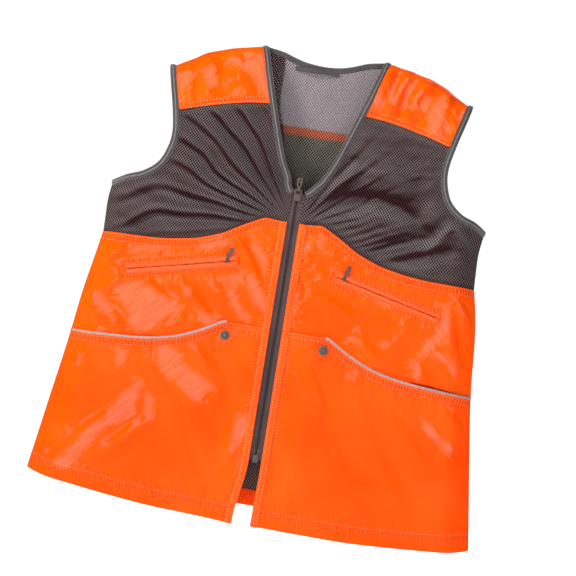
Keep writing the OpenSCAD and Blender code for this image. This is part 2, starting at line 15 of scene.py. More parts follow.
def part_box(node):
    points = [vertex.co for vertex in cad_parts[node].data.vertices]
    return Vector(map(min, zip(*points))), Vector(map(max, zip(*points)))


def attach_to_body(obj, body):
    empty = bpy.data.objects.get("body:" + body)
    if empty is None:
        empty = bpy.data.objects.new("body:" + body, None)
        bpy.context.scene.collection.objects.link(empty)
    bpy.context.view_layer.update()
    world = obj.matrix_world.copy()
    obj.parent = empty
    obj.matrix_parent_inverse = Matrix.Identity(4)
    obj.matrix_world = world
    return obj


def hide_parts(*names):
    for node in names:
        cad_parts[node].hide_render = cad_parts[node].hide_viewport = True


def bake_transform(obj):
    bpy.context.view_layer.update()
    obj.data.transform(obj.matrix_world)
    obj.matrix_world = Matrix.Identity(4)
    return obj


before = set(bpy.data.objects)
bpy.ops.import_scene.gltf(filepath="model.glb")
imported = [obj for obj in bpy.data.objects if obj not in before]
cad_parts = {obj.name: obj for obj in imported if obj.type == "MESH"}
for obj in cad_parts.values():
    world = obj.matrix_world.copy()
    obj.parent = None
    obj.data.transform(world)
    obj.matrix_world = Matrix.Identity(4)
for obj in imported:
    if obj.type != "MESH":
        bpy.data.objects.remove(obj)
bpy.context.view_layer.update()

MM = 0.001
TAU = 2 * math.pi
HAND = {1: "left", -1: "right"}
TO_FRONT = (0.0, -1.0, 0.0)

# ------------------------------------------------------------------ driving dimensions
LOOP_HEIGHT = 187.0
DEPTH = 34.0               # depth of the front layer
SIDE_PLANE = 1.0           # y of the side seams
FRONT_PLANE = SIDE_PLANE - DEPTH
ARMPIT_Z, SEAM_Z = -18, -102              # heights of the armpit and of the chest seam's outer end
ARMPIT_X, SEAM_X, HEM_X = 284.0, 281.0, 339.0   # half-widths at the armpit, that seam and the hem
SIDE_FLAT = 0.86           # share of the half-width that lies flat before it curves to the side
ROLL = 90.0                # height over which the front rolls back below the shoulder
LEAN = 7.5                 # sideways lean of the shoulders
POCKET_LIFT = 2.4          # the lower pocket lies this far in front of the shell
SPLIT_X = 180.0            # the pocket is made in two pieces that meet here
ZIP_PLANE = -31.4          # y of the main zip's tapes
PLACKET_WIDTH = 11
CHEST_ZIP_X, CHEST_ZIP_Z = 155.0, -134.0
CHEST_ZIP_TILT = math.radians(13.2)
CHEST_FRAME = (84, 6)      # half-length and half-height of the chest zip's frame
# distances from the centre between which the cloth bends when a part swings: start, end
EDGE_BEND = (60.0, 38.0)
POCKET_INNER_BEND = (58, 72)
POCKET_OUTER_BEND = (316, 262)

# ------------------------------------------------------------------ outlines of one half
# all are (distance from the centre, height)
LAPEL_IN = [(8, 1), (12, 6), (21.5, 20), (36.5, 50), (53.5, 100), (70, 150), (84, 197), (89, 214)]
LAPEL_OUT = [(14, -6), (21, 0), (30, 17), (45.5, 48), (62.5, 98), (71.5, 127), (79, 150),
             (92, 194), (97, 213)]
ARM_OUT = [(ARMPIT_X, ARMPIT_Z), (262, -8), (240, 0), (220, 17), (210, 40), (207, 65),
           (212.5, 102), (221.5, 135), (230, 163)]
ARM_IN = [(ARMPIT_X - 2, -27), (260, -17), (236, -8.5), (213, 10), (201, 37), (198, 65),
          (204, 97), (213, 134), (221.5, 167)]
SHOULDER_TOP = [(97, 213), (135, 204), (175, 192), (200, 178), (221.5, 167)]
YOKE = [(71.5, 127), (110, 121.5), (155, 111.5), (204, 97)]
CHEST_SEAM = [(9, -47), (30, -45.5), (43, -45), (60, -53), (80, -64), (100, -76), (125, -86),
              (150, -93), (200, -100), (SEAM_X, SEAM_Z)]
SIDE_LINE = [(HEM_X, -482), (322, -370), (305, -260), (290, -165), (SEAM_X, SEAM_Z)]
HEM = [(9.5, -502), (54, -501), (100, -500.5), (160, -499), (250, -491.5), (HEM_X, -482)]
HEM_INNER = [(9.5, -502), (30, -501.6), (60, -501)]
HEM_OUTER = [(60, -501), (100, -500.5), (160, -499), (250, -491.5), (HEM_X, -482)]
MOUTH = [(56, -207), (76, -206.5), (100, -220), (130, -235), (160, -245.5), (200, -252.5),
         (250, -256.5), (305, -260)]
POCKET_TOP = [(60, -207)] + MOUTH[1:]
CROWN = [(0, 216), (97, 213), (135, 204), (175, 192), (200, 178), (232, 163)]
OUTER_EDGE = [(HEM_X + 3, -500)] + SIDE_LINE + [(ARMPIT_X, ARMPIT_Z), (ARMPIT_X, 250)]
BACK_NECK = [(0, 195), (25, 197), (45, 202), (65, 209), (88, 213)]
BACK_TOP = [(0, 195), (25, 197), (45, 202), (65, 208), (88, 212), (97, 211), (135, 202),
            (175, 190), (200, 176), (226, 166)]
BACK_EDGE = [(HEM_X - 2, -474), (320, -370), (304, -260), (289, -165), (SEAM_X - 1, SEAM_Z),
             (ARMPIT_X - 2, -60), (ARMPIT_X - 2, -27), (260, -16), (237, -7), (215, 11), (204, 37),
             (201, 65), (207, 97), (216, 134), (226, 166)]
BACK_BOTTOM = [(0, -474), (120, -474), (240, -473), (HEM_X - 2, -474)]

# ------------------------------------------------------------------ folds and gloss, as it lies
# Ridges and valleys: height (negative is a valley), width, course in X and Z
RIDGES = {
    "shell_right": [
        (3.0, 7, [(-287, -142), (-264, -138), (-240, -118)]),
        (-2.5, 6, [(-283, -152), (-260, -148), (-238, -130)]),
        (2.5, 6, [(-240, -148), (-270, -161), (-285, -180)]),
        (3.0, 9, [(-230, -162), (-249, -177), (-261, -188)]),
        (4.0, 22, [(-226, -170), (-193, -183), (-153, -204)]),
        (-2.5, 10, [(-196, -163), (-169, -180), (-142, -200)]),
        (4.0, 9, [(-296, -224), (-266, -223), (-240, -231), (-228, -250)]),
        (-3.0, 8, [(-291, -239), (-261, -237), (-240, -252)]),
        (3.0, 9, [(-159, -147), (-136, -174), (-101, -205)]),
        (-2.5, 8, [(-130, -155), (-104, -184), (-86, -203)]),
        (2.5, 6, [(-81, -80), (-55, -112), (-24, -175)]),
        (-2.5, 5, [(-66, -81), (-43, -110), (-19, -153)]),
        (2.5, 6, [(-66, -136), (-40, -168), (-23, -196)]),
        (2.0, 5, [(-65, -181), (-52, -207)]),
        (2.5, 8, [(-199, -224), (-161, -230), (-137, -208)]),
    ],
    "pocket_right": [
        (4.0, 16, [(-177, -266), (-138, -297), (-94, -342)]),
        (-2.5, 9, [(-143, -264), (-108, -295), (-81, -330)]),
        (2.5, 7, [(-225, -268), (-222, -280), (-215, -294)]),
        (2.5, 8, [(-127, -252), (-104, -264), (-89, -292)]),
        (3.8, 14, [(-181, -316), (-214, -358), (-252, -406), (-294, -447)]),
        (-2.4, 9, [(-196, -318), (-234, -364), (-273, -407)]),
        (3.2, 12, [(-154, -351), (-187, -393), (-249, -443)]),
        (-2.2, 8, [(-164, -344), (-198, -382), (-233, -412)]),
        (2.5, 8, [(-26, -340), (-38, -381), (-42, -422)]),
        (2.0, 6, [(-317, -420), (-310, -443), (-305, -458)]),
        (2.2, 9, [(-86, -261), (-76, -305), (-64, -343)]),
        (2.0, 7, [(-305, -284), (-308, -321), (-317, -359)]),
    ],
    "shell_left": [
        (2.2, 4, [(17, -87), (33, -96), (21, -112), (16, -130), (26, -141), (18, -162),
                  (22, -178), (21, -201)]),
        (2.5, 9, [(36, -146), (78, -159), (117, -179)]),
        (-2.0, 7, [(48, -157), (90, -174), (135, -209)]),
        (3.2, 8, [(232, -131), (257, -177), (285, -228)]),
        (2.5, 7, [(253, -121), (277, -144), (284, -172)]),
        (-2.5, 8, [(261, -150), (280, -186), (292, -217)]),
        (3.0, 12, [(215, -233), (236, -200), (263, -186)]),
        (2.5, 10, [(209, -217), (223, -241), (242, -258)]),
        (2.0, 8, [(122, -185), (137, -216), (173, -236)]),
        (-2.0, 7, [(43, -86), (70, -108), (78, -120)]),
    ],
    "pocket_left": [
        (2.2, 6, [(122, -251), (127, -258), (123, -274)]),
        (2.2, 7, [(204, -264), (213, -279), (211, -290)]),
        (2.5, 14, [(179, -295), (223, -344), (265, -403)]),
        (-2.0, 12, [(151, -306), (192, -358), (220, -410)]),
        (2.6, 14, [(262, -278), (288, -317), (284, -357)]),
        (-2.0, 10, [(246, -281), (268, -320), (260, -371)]),
        (2.0, 8, [(49, -431), (56, -453), (61, -465)]),
        (2.0, 12, [(54, -255), (78, -301), (79, -350)]),
        (2.0, 14, [(100, -396), (156, -417), (222, -423)]),
    ],
    "chest_right": [
        (-7.0, 10, [(-177, 90), (-152, 57), (-128, 28), (-90, -5), (-49, -42)]),
        (-6.5, 9, [(-135, 99), (-100, 63), (-66, 27), (-35, -8), (-13, -32)]),
        (-7.0, 10, [(-211, 4), (-174, -23), (-136, -43), (-103, -60)]),
        (-7.0, 11, [(-282, -28), (-248, -35), (-207, -46), (-168, -57), (-144, -75)]),
        (-5.0, 8, [(-277, -73), (-252, -79), (-221, -94)]),
        (6.0, 12, [(-152, 87), (-118, 47), (-79, 9), (-37, -36)]),
        (6.0, 12, [(-193, 17), (-150, -6), (-107, -30), (-69, -52)]),
        (5.0, 11, [(-233, -9), (-194, -35), (-123, -72)]),
        (4.5, 10, [(-94, 103), (-61, 64), (-33, 25)]),
        (4.0, 10, [(-268, -47), (-234, -59), (-187, -80)]),
    ],
    "chest_left": [
        (-7.0, 13, [(20, -21), (62, -2), (109, 8), (155, 0), (199, -30), (214, -45)]),
        (-5.0, 8, [(78, 67), (52, 28), (22, -16)]),
        (4.5, 8, [(88, 51), (58, 22), (29, -13)]),
        (-5.5, 10, [(118, -77), (154, -54), (186, -42), (212, -48)]),
        (6.0, 8, [(204, -59), (220, -36), (235, -19), (252, -34), (272, -50)]),
        (-5.5, 9, [(130, -93), (181, -72), (226, -55), (249, -44)]),
        (-5.0, 12, [(172, 50), (188, 13), (177, -14)]),
        (5.0, 16, [(95, 67), (138, 44), (168, 15)]),
        (4.5, 12, [(81, -31), (119, -20), (159, -26), (181, -38)]),
        (-4.0, 9, [(206, 85), (207, 48), (223, 23), (253, 6)]),
    ],
    "shoulder_right": [
        (2.5, 7, [(-162, 177), (-153, 159), (-160, 136), (-153, 120)]),
        (2.2, 8, [(-121, 192), (-116, 173), (-123, 148)]),
        (-2.0, 7, [(-141, 182), (-141, 152), (-133, 127)]),
        (2.0, 6, [(-195, 163), (-183, 145), (-186, 119)]),
        (2.2, 8, [(-99, 191), (-82, 166), (-73, 137)]),
    ],
    "shoulder_left": [
        (3.0, 8, [(164, 192), (153, 170), (148, 150)]),
        (-2.4, 6, [(137, 190), (136, 168), (149, 145)]),
        (3.0, 7, [(186, 178), (172, 156), (160, 137)]),
        (-2.4, 6, [(177, 189), (161, 164), (155, 156)]),
        (2.6, 8, [(197, 172), (213, 150), (204, 124)]),
        (2.2, 6, [(109, 195), (108, 170), (104, 150)]),
        (2.4, 7, [(143, 201), (179, 192), (213, 177)]),
    ],
}

# Broad ridges with one long flank: height, width of the flank left of the course (looking along
# it), width of the flank right of it, course in X and Z
SLOPES = {
    "shell_right": [
        (6.0, 34, 9, [(-222, -244), (-184, -236), (-148, -216), (-152, -197), (-184, -176),
                      (-199, -160)]),
        (4.0, 22, 6, [(-286, -251), (-280, -217), (-283, -178), (-276, -154), (-249, -124)]),
        (3.0, 12, 5, [(-298, -234), (-280, -222), (-249, -226), (-233, -245)]),
        (3.2, 9, 7, [(-56, -156), (-41, -172), (-18, -194)]),
        (3.0, 9, 6, [(-86, -79), (-68, -93), (-42, -121), (-25, -146)]),
        (2.6, 8, 6, [(-147, -161), (-123, -181), (-99, -207)]),
        (2.4, 8, 6, [(-256, -181), (-238, -164), (-229, -172)]),
    ],
    "pocket_right": [
        (5.5, 9, 32, [(-110, -260), (-91, -275), (-91, -306), (-99, -345)]),
        (-2.2, 6, 6, [(-170, -267), (-150, -303), (-128, -328), (-100, -347)]),
        (6.0, 9, 36, [(-201, -321), (-192, -366), (-196, -397), (-223, -427), (-245, -454)]),
        (2.6, 10, 5, [(-286, -444), (-256, -397), (-231, -368)]),
        (2.6, 9, 9, [(-40, -397), (-36, -362), (-25, -337)]),
        (2.6, 9, 7, [(-189, -382), (-184, -353), (-176, -329)]),
        (2.6, 9, 7, [(-159, -393), (-160, -361), (-159, -337)]),
        (2.4, 9, 6, [(-77, -345), (-74, -329), (-66, -306)]),
        (3.0, 20, 8, [(-307, -340), (-297, -318), (-294, -294)]),
    ],
    "shell_left": [
        (3.0, 5, 10, [(237, -131), (253, -145), (263, -175), (269, -203), (289, -243)]),
        (2.6, 8, 5, [(244, -166), (234, -192), (237, -208), (256, -215), (286, -233)]),
        (3.2, 5, 11, [(252, -122), (272, -133), (285, -156), (284, -172)]),
        (3.2, 10, 8, [(216, -228), (226, -242), (246, -255)]),
        (1.8, 6, 6, [(183, -162), (188, -171), (192, -183)]),
        (3.0, 8, 10, [(58, -161), (99, -184), (125, -198), (136, -212), (188, -236)]),
    ],
    "pocket_left": [
        (2.4, 8, 6, [(184, -270), (198, -294), (221, -310)]),
        (2.6, 10, 7, [(259, -270), (265, -285), (286, -310), (287, -343)]),
        (2.4, 14, 14, [(193, -315), (226, -371), (255, -400)]),
        (1.8, 5, 5, [(130, -250), (126, -263), (119, -272)]),
        (2.2, 10, 8, [(268, -405), (293, -380), (308, -345)]),
    ],
}

# Outlines, in X and Z, of the patches of nylon that lie flat towards the light
GLOSS = {
    "shell_right": [
        [(-248, -183), (-230, -169), (-206, -168), (-182, -182), (-157, -187), (-143, -195),
         (-148, -207), (-168, -217), (-176, -232), (-202, -243), (-217, -231), (-223, -213),
         (-239, -196)],
        [(-287, -134), (-270, -119), (-260, -122), (-270, -139), (-283, -160), (-291, -159)],
        [(-296, -192), (-267, -193), (-250, -209), (-240, -232), (-253, -224), (-274, -213),
         (-291, -210)],
        [(-133, -97), (-103, -83), (-85, -86), (-100, -100), (-129, -108)],
        [(-58, -132), (-47, -130), (-34, -147), (-19, -169), (-21, -187), (-34, -177),
         (-47, -160)],
        [(-54, -83), (-41, -89), (-29, -106), (-30, -128), (-40, -113), (-52, -99)],
        [(-149, -162), (-137, -168), (-131, -179), (-142, -179)],
        [(-122, -195), (-105, -199), (-89, -210), (-103, -217), (-116, -209)],
        [(-84, -153), (-69, -161), (-59, -181), (-42, -194), (-55, -199), (-71, -180)],
        [(-237, -122), (-206, -113), (-174, -109), (-194, -120), (-231, -128)],
    ],
    "pocket_right": [
        [(-173, -256), (-151, -256), (-135, -272), (-113, -287), (-88, -296), (-75, -308),
         (-90, -316), (-93, -330), (-106, -332), (-122, -316), (-138, -305), (-151, -304),
         (-165, -285)],
        [(-183, -309), (-187, -337), (-188, -364), (-202, -377), (-222, -386), (-238, -404),
         (-253, -428), (-270, -458), (-291, -459), (-298, -452), (-275, -427), (-253, -396),
         (-229, -373), (-217, -347), (-204, -329)],
        [(-174, -329), (-162, -338), (-160, -365), (-170, -372), (-176, -351)],
        [(-231, -271), (-212, -271), (-214, -292), (-226, -301)],
        [(-293, -294), (-278, -289), (-281, -303), (-291, -307)],
        [(-38, -351), (-19, -337), (-13, -347), (-25, -381), (-36, -399), (-42, -395)],
        [(-328, -435), (-314, -422), (-308, -443), (-323, -450)],
        [(-145, -260), (-131, -264), (-131, -276), (-142, -273)],
    ],
    "shell_left": [
        [(240, -129), (253, -147), (254, -172), (242, -189), (231, -203), (222, -213),
         (213, -211), (222, -192), (233, -175), (240, -154)],
        [(213, -216), (220, -222), (222, -242), (219, -253), (212, -244), (211, -229)],
        [(251, -115), (271, -121), (286, -142), (286, -162), (276, -153), (263, -135)],
        [(256, -207), (269, -215), (282, -230), (288, -243), (274, -236), (262, -223)],
        [(231, -203), (251, -202), (263, -213), (254, -217), (237, -210)],
        [(18, -144), (25, -151), (26, -173), (21, -194), (17, -185), (19, -164)],
        [(18, -77), (31, -67), (31, -82), (20, -94)],
        [(40, -58), (51, -64), (47, -82), (41, -73)],
        [(132, -134), (155, -135), (172, -146), (157, -148), (141, -142)],
    ],
    "pocket_left": [
        [(121, -248), (129, -250), (130, -265), (121, -263)],
        [(234, -298), (249, -313), (277, -334), (299, -345), (307, -364), (296, -356),
         (268, -340), (240, -317)],
        [(271, -280), (290, -284), (297, -301), (287, -297)],
    ],
    "shoulder_right": [
        [(-140, 175), (-120, 198), (-85, 208), (-73, 170), (-64, 126), (-78, 138), (-93, 159),
         (-115, 171)],
        [(-207, 149), (-192, 159), (-180, 153), (-184, 129), (-199, 126)],
        [(-171, 161), (-154, 167), (-144, 139), (-156, 132)],
    ],
    "shoulder_left": [
        [(105, 179), (129, 203), (160, 211), (152, 183), (174, 170), (170, 150), (138, 149),
         (114, 153)],
        [(171, 138), (182, 171), (196, 182), (197, 150), (212, 129), (196, 110), (179, 116)],
        [(109, 203), (127, 218), (144, 213), (130, 201)],
        [(206, 167), (226, 167), (233, 148), (218, 146)],
        [(86, 164), (99, 173), (107, 144), (92, 140)],
    ],
}
GLOSS_REACH = 12           # gloss is measured this far in and out of an outline
# The gap above the open pocket mouth, painted as shade: start X and Z, end X and Z, half-width, depth
SHADE = {"shell_left": [(210, -253, 296, -264, 3.2, 8.0)]}


# ------------------------------------------------------------------ blending curves
def ease(t):
    t = np.clip(t, 0.0, 1.0)
    return t * t * (3 - 2 * t)


def rise(value, start, width):
    """0 up to start, 1 from start + width on."""
    return ease((value - start) / width)


def fall(value, start, width):
    return 1 - rise(value, start, width)


def band(value, start, fade_in, end, fade_out):
    """1 between start + fade_in and end, fading on both sides."""
    return rise(value, start, fade_in) * fall(value, end, fade_out)


def bell(value, centre, width):
    return np.exp(-((value - centre) / width) ** 2)


def stack(*parts):
    """Coordinates (numbers or arrays) side by side in a last axis."""
    return np.stack(np.broadcast_arrays(*parts), -1)


def unit(vectors):
    return vectors / (np.linalg.norm(vectors, axis=-1, keepdims=True) + 1e-12)


# ------------------------------------------------------------------ curves
def curve(points, steps=40):
    """A smooth Catmull-Rom curve through the points, as a dense polyline."""
    p = np.array(points, float)
    if len(p) == 2:
        return p[0] + (p[1] - p[0]) * np.linspace(0, 1, steps)[:, None]
    q = np.vstack([2 * p[0] - p[1], p, 2 * p[-1] - p[-2]])
    out = []
    t = np.linspace(0, 1, steps, endpoint=False)[:, None]
    for a, b, c, d in zip(q, q[1:], q[2:], q[3:]):
        out.append(0.5 * (2 * b + (c - a) * t + (2 * a - 5 * b + 4 * c - d) * t ** 2
                          + (3 * b - a - 3 * c + d) * t ** 3))
    return np.vstack(out + [p[-1:]])


def run(path):
    """Distance covered at each point of a path."""
    steps = np.linalg.norm(np.diff(path, axis=0), axis=1)
    return np.concatenate([[0], np.cumsum(steps)])


def point_at(path, share):
    covered = run(path)
    goal = np.clip(share, 0, 1) * covered[-1]
    return np.stack([np.interp(goal, covered, path[:, k]) for k in range(path.shape[1])], -1)


def z_on(path, x):
    return np.interp(x, path[:, 0], path[:, 1])


def x_on(path, z):
    path = np.asarray(path)
    return np.interp(z, path[:, 1], path[:, 0])


def segment_distance(x, z, start, end):
    """Distance to a segment, and the share of the segment where the nearest point lies."""
    d = end - start
    t = ((x - start[0]) * d[0] + (z - start[1]) * d[1]) / max((d ** 2).sum(), 1e-9)
    t = np.clip(t, 0, 1)
    return np.hypot(x - start[0] - t * d[0], z - start[1] - t * d[1]), t


def path_distance(path, x, z, step=1):
    path = np.asarray(path, float)[::step]
    out = np.full(np.shape(x), 1e9)
    for start, end in zip(path[:-1], path[1:]):
        out = np.minimum(out, segment_distance(x, z, start, end)[0])
    return out


SHARES = np.linspace(0, 1, 80)


def midway(inner, outer):
    return 0.5 * (point_at(curve(inner), SHARES) + point_at(curve(outer), SHARES))


CROWN_LINE = curve(CROWN)
LAPEL = midway(LAPEL_IN, LAPEL_OUT)
ARMHOLE = midway(ARM_IN, ARM_OUT)
SEAM_LINE, MOUTH_LINE, YOKE_LINE = curve(CHEST_SEAM), curve(MOUTH), curve(YOKE)
HEM_LINE = np.vstack([curve(HEM_INNER)[:-1], curve(HEM_OUTER)])
POCKET_TOP_LINE = curve(POCKET_TOP)


# ------------------------------------------------------------------ how the pattern lies
def half_width(z):
    return x_on(OUTER_EDGE, z)


def lean_and_slope(x, z):
    """Sideways lean of the garment, and how much it rises per mm towards +X."""
    lean = LEAN * rise(z, -60, 70) * np.maximum(rise(x, 0, 40), rise(z, 0, 20))
    lean = lean + 3 * np.clip(z / 200, 0, 1)
    above = z - SEAM_Z
    slope = np.where(z > ARMPIT_Z, 0.02, np.where(
        z > SEAM_Z, 0.02 * above / (ARMPIT_Z - SEAM_Z), 0.031 * above / 388))
    return lean, slope * rise(x, 0, 60)


def lay(side, x, z):
    """Places on a front half of the pattern to X, Z as the garment lies."""
    lean, slope = lean_and_slope(x, z)
    # the lower front edges are pushed to the right, the right one further
    lean = lean - (11 if side < 0 else 2) * rise(-z, 404, 97) * fall(x, 0, 110)
    bulge = 7.5 * bell(z, -155, 75) if side > 0 else 2.5 * bell(z, -190, 60)
    return side * (x + bulge * rise(x, 190, 95)) + lean, z + side * x * slope


def laid(side, x, z):
    return stack(*lay(side, x, z))


def lay_back(signed_x, z):
    lean, slope = lean_and_slope(np.abs(signed_x), z)
    return signed_x + lean, z + signed_x * slope


def front_depth(x, z):
    """How far the front stands out from the plane of the side seams."""
    aside = np.clip((x / half_width(z) - SIDE_FLAT) / (1 - SIDE_FLAT), 0, 1)
    below = np.clip((z_on(CROWN_LINE, x) - z) / ROLL, 0, 1)
    return DEPTH * (1 - aside * aside) * np.sqrt(np.maximum(0, 1 - (1 - below) ** 2))


def front_surface(side, x, z, lift, height=0.0):
    """Points and outward normals of the front layer at places on the pattern."""
    def point(x, z):
        X, Z = lay(side, x, z)
        return stack(X, SIDE_PLANE - front_depth(x, z) - lift, Z)
    here = point(x, z)
    normal = unit(np.cross(point(x + 0.5, z) - here, point(x, z - 0.5) - here))
    normal *= np.sign(-normal[:, 1:2] + 1e-9)
    return here + normal * np.asarray(height)[..., None], normal


# ------------------------------------------------------------------ smooth random fields
NOISE_CELLS = 64
NOISE_GRIDS = [np.random.RandomState(k + 11).rand(NOISE_CELLS, NOISE_CELLS) * 2 - 1
               for k in range(8)]


def noise(seed, x, z):
    """Smooth noise between -1 and 1, with one cell per unit."""
    grid, n = NOISE_GRIDS[seed % 8], NOISE_CELLS
    i, j = np.floor(x).astype(int), np.floor(z).astype(int)
    u, v = x - i, z - j
    u, v = u ** 3 * (u * (u * 6 - 15) + 10), v ** 3 * (v * (v * 6 - 15) + 10)
    a, b = grid[i % n, j % n], grid[(i + 1) % n, j % n]
    c, d = grid[i % n, (j + 1) % n], grid[(i + 1) % n, (j + 1) % n]
    return (a * (1 - u) + b * u) * (1 - v) + (c * (1 - u) + d * u) * v


def turn(x, z, degrees):
    c, s = math.cos(math.radians(degrees)), math.sin(math.radians(degrees))
    return x * c + z * s, -x * s + z * c


def folds(x, z, angle, along, across, seed):
    """Random folds that run at an angle; along and across are their sizes."""
    u, v = turn(x, z, angle)
    v = v + noise(seed + 3, u / (along * 2.1) + 7.3, v / (across * 2.3) + 1.7) * across * 0.8
    fine = noise(seed + 1, u / along * 2.1 + 3.1, v / across * 2.05 + 5.7)
    return noise(seed, u / along, v / across) + 0.45 * fine


# ------------------------------------------------------------------ placed folds and gloss
def near_path(X, Z, path, reach):
    low, high = path.min(0) - reach, path.max(0) + reach
    return (X > low[0]) & (X < high[0]) & (Z > low[1]) & (Z < high[1])


def course(X, Z, points, steps, reach):
    """The places near a course, their distance (positive on its left), their share along it."""
    path = curve(points, steps)
    near = near_path(X, Z, path, reach)
    x, z = X[near][:, None], Z[near][:, None]
    a, d = path[:-1], path[1:] - path[:-1]
    t = ((x - a[:, 0]) * d[:, 0] + (z - a[:, 1]) * d[:, 1]) / (d ** 2).sum(1)
    t = np.clip(t, 0, 1)
    dx, dz = x - (a[:, 0] + t * d[:, 0]), z - (a[:, 1] + t * d[:, 1])
    squared = dx ** 2 + dz ** 2
    i = squared.argmin(1)
    k = np.arange(len(i))
    distance = np.sqrt(squared[k, i]) * np.sign(d[i, 0] * dz[k, i] - d[i, 1] * dx[k, i])
    return near, distance, (i + t[k, i]) / len(a)


def ridges(part, side, X, Z):
    """Ridges with a steep and a soft flank, fading at both ends."""
    out = np.zeros_like(X)
    for height, width, points in RIDGES.get(part + "_" + HAND[side], []):
        near, d, share = course(X, Z, points, 14, 4.5 * width)
        shape = np.where(d > 0, bell(d, 0, width * 0.75), bell(d, 0, width * 1.5))
        shape = shape - 0.38 * bell(d, 2.0 * width, width)     # shallow trough beside the steep flank
        out[near] += height * shape * np.sin(np.pi * np.clip(share, 0, 1)) ** 0.6
    return out


def slopes(part, side, X, Z):
    """Broad ridges whose flanks rise evenly and round off at the crest."""
    def flank(d, width):
        return np.clip(1 - d / (width * 1.55), 0, 1) ** 1.25 * (1 - 0.12 * bell(d, 0, width * 0.25))
    out = np.zeros_like(X)
    for height, left, right, points in SLOPES.get(part + "_" + HAND[side], []):
        near, d, share = course(X, Z, points, 12, 3.2 * max(left, right))
        ends = np.sin(np.pi * np.clip(share, 0.02, 0.98)) ** 0.35
        out[near] += height * np.where(d > 0, flank(d, left), flank(-d, right)) * ends
    return out


def gloss(part, side, X, Z):
    """GLOSS_REACH plus the depth inside the nearest patch; negative in a shaded gap."""
    key = part + "_" + HAND[side]
    depth = np.full(np.shape(X), -float(GLOSS_REACH))
    for points in GLOSS.get(key, []):
        outline = np.array(points, float)
        near = near_path(X, Z, outline, GLOSS_REACH + 1)
        x, z = X[near], Z[near]
        distance, inside = np.full(x.shape, 1e9), np.zeros(x.shape, bool)
        for a, b in zip(outline, np.roll(outline, -1, axis=0)):
            distance = np.minimum(distance, segment_distance(x, z, a, b)[0])
            if a[1] != b[1]:
                crossing = (b[0] - a[0]) * (z - a[1]) / (b[1] - a[1]) + a[0]
                inside ^= ((a[1] > z) != (b[1] > z)) & (x < crossing)
        depth[near] = np.maximum(depth[near], np.where(inside, distance, -distance))
    out = GLOSS_REACH + np.clip(depth, -GLOSS_REACH, GLOSS_REACH)
    for x0, z0, x1, z1, radius, dark in SHADE.get(key, []):
        distance, t = segment_distance(X, Z, np.array((x0, z0)), np.array((x1, z1)))
        # the gap narrows towards its ends and has a soft rim
        k = ease((radius * np.sin(np.pi * (0.12 + 0.76 * t)) + 1.4 - distance) / 2.8)
        out = out * (1 - k) - dark * k
    return out


# ------------------------------------------------------------------ meshes
def mesh_object(name, points, faces, material, uv=None):
    """A smooth-shaded mesh from garment points and UVs, both in mm."""
    mesh = bpy.data.meshes.new(name)
    points = np.asarray(points, float).reshape(-1, 3) - (0, 0, LOOP_HEIGHT)
    faces = np.asarray(faces, np.int32)
    corners = faces.shape[1]
    mesh.vertices.add(len(points))
    mesh.vertices.foreach_set("co", (points * MM).astype(np.float32).ravel())
    mesh.loops.add(faces.size)
    mesh.loops.foreach_set("vertex_index", faces.ravel())
    mesh.polygons.add(len(faces))
    mesh.polygons.foreach_set("loop_start", np.arange(0, faces.size, corners, dtype=np.int32))
    mesh.polygons.foreach_set("loop_total", np.full(len(faces), corners, np.int32))
    mesh.update(calc_edges=True)
    mesh.polygons.foreach_set("use_smooth", np.ones(len(faces), bool))
    if uv is not None:
        uv = (np.asarray(uv).reshape(-1, 2) * MM).astype(np.float32)
        layer = mesh.uv_layers.new(name="UVMap")
        layer.data.foreach_set("uv", uv[faces.ravel()].ravel())
    mesh.materials.append(material)
    piece = bpy.data.objects.new(name, mesh)
    bpy.context.scene.collection.objects.link(piece)
    return piece


def grid_faces(columns, rows, flip=False):
    i, j = np.meshgrid(np.arange(columns - 1), np.arange(rows - 1), indexing="ij")
    a = (i * rows + j).ravel()
    faces = np.stack([a, a + rows, a + rows + 1, a + 1], 1)
    return faces[:, ::-1] if flip else faces


def ring_faces(rings, corners):
    i, j = np.meshgrid(np.arange(rings - 1), np.arange(corners), indexing="ij")
    a, b = (i * corners + j).ravel(), (i * corners + (j + 1) % corners).ravel()
    return np.stack([a, b, b + corners, a + corners], 1)


def store(piece, name, values):
    attribute = piece.data.attributes.new(name, "FLOAT", "POINT")
    attribute.data.foreach_set("value", np.asarray(values, float).ravel().astype(np.float32))


def solidify(piece, thickness, offset):
    modifier = piece.modifiers.new("Solid", "SOLIDIFY")
    modifier.thickness, modifier.offset = thickness * MM, offset
    return modifier


def sharpen_rim(piece):
    """Open edges stay crisp, so that the cut edge doesn't bend the shading of the face."""
    mesh = piece.data
    loop_edges = np.zeros(len(mesh.loops), np.int32)
    mesh.loops.foreach_get("edge_index", loop_edges)
    uses = np.bincount(loop_edges, minlength=len(mesh.edges))
    sharp = (mesh.attributes.get("sharp_edge")
             or mesh.attributes.new("sharp_edge", "BOOLEAN", "EDGE"))
    sharp.data.foreach_set("value", uses == 1)


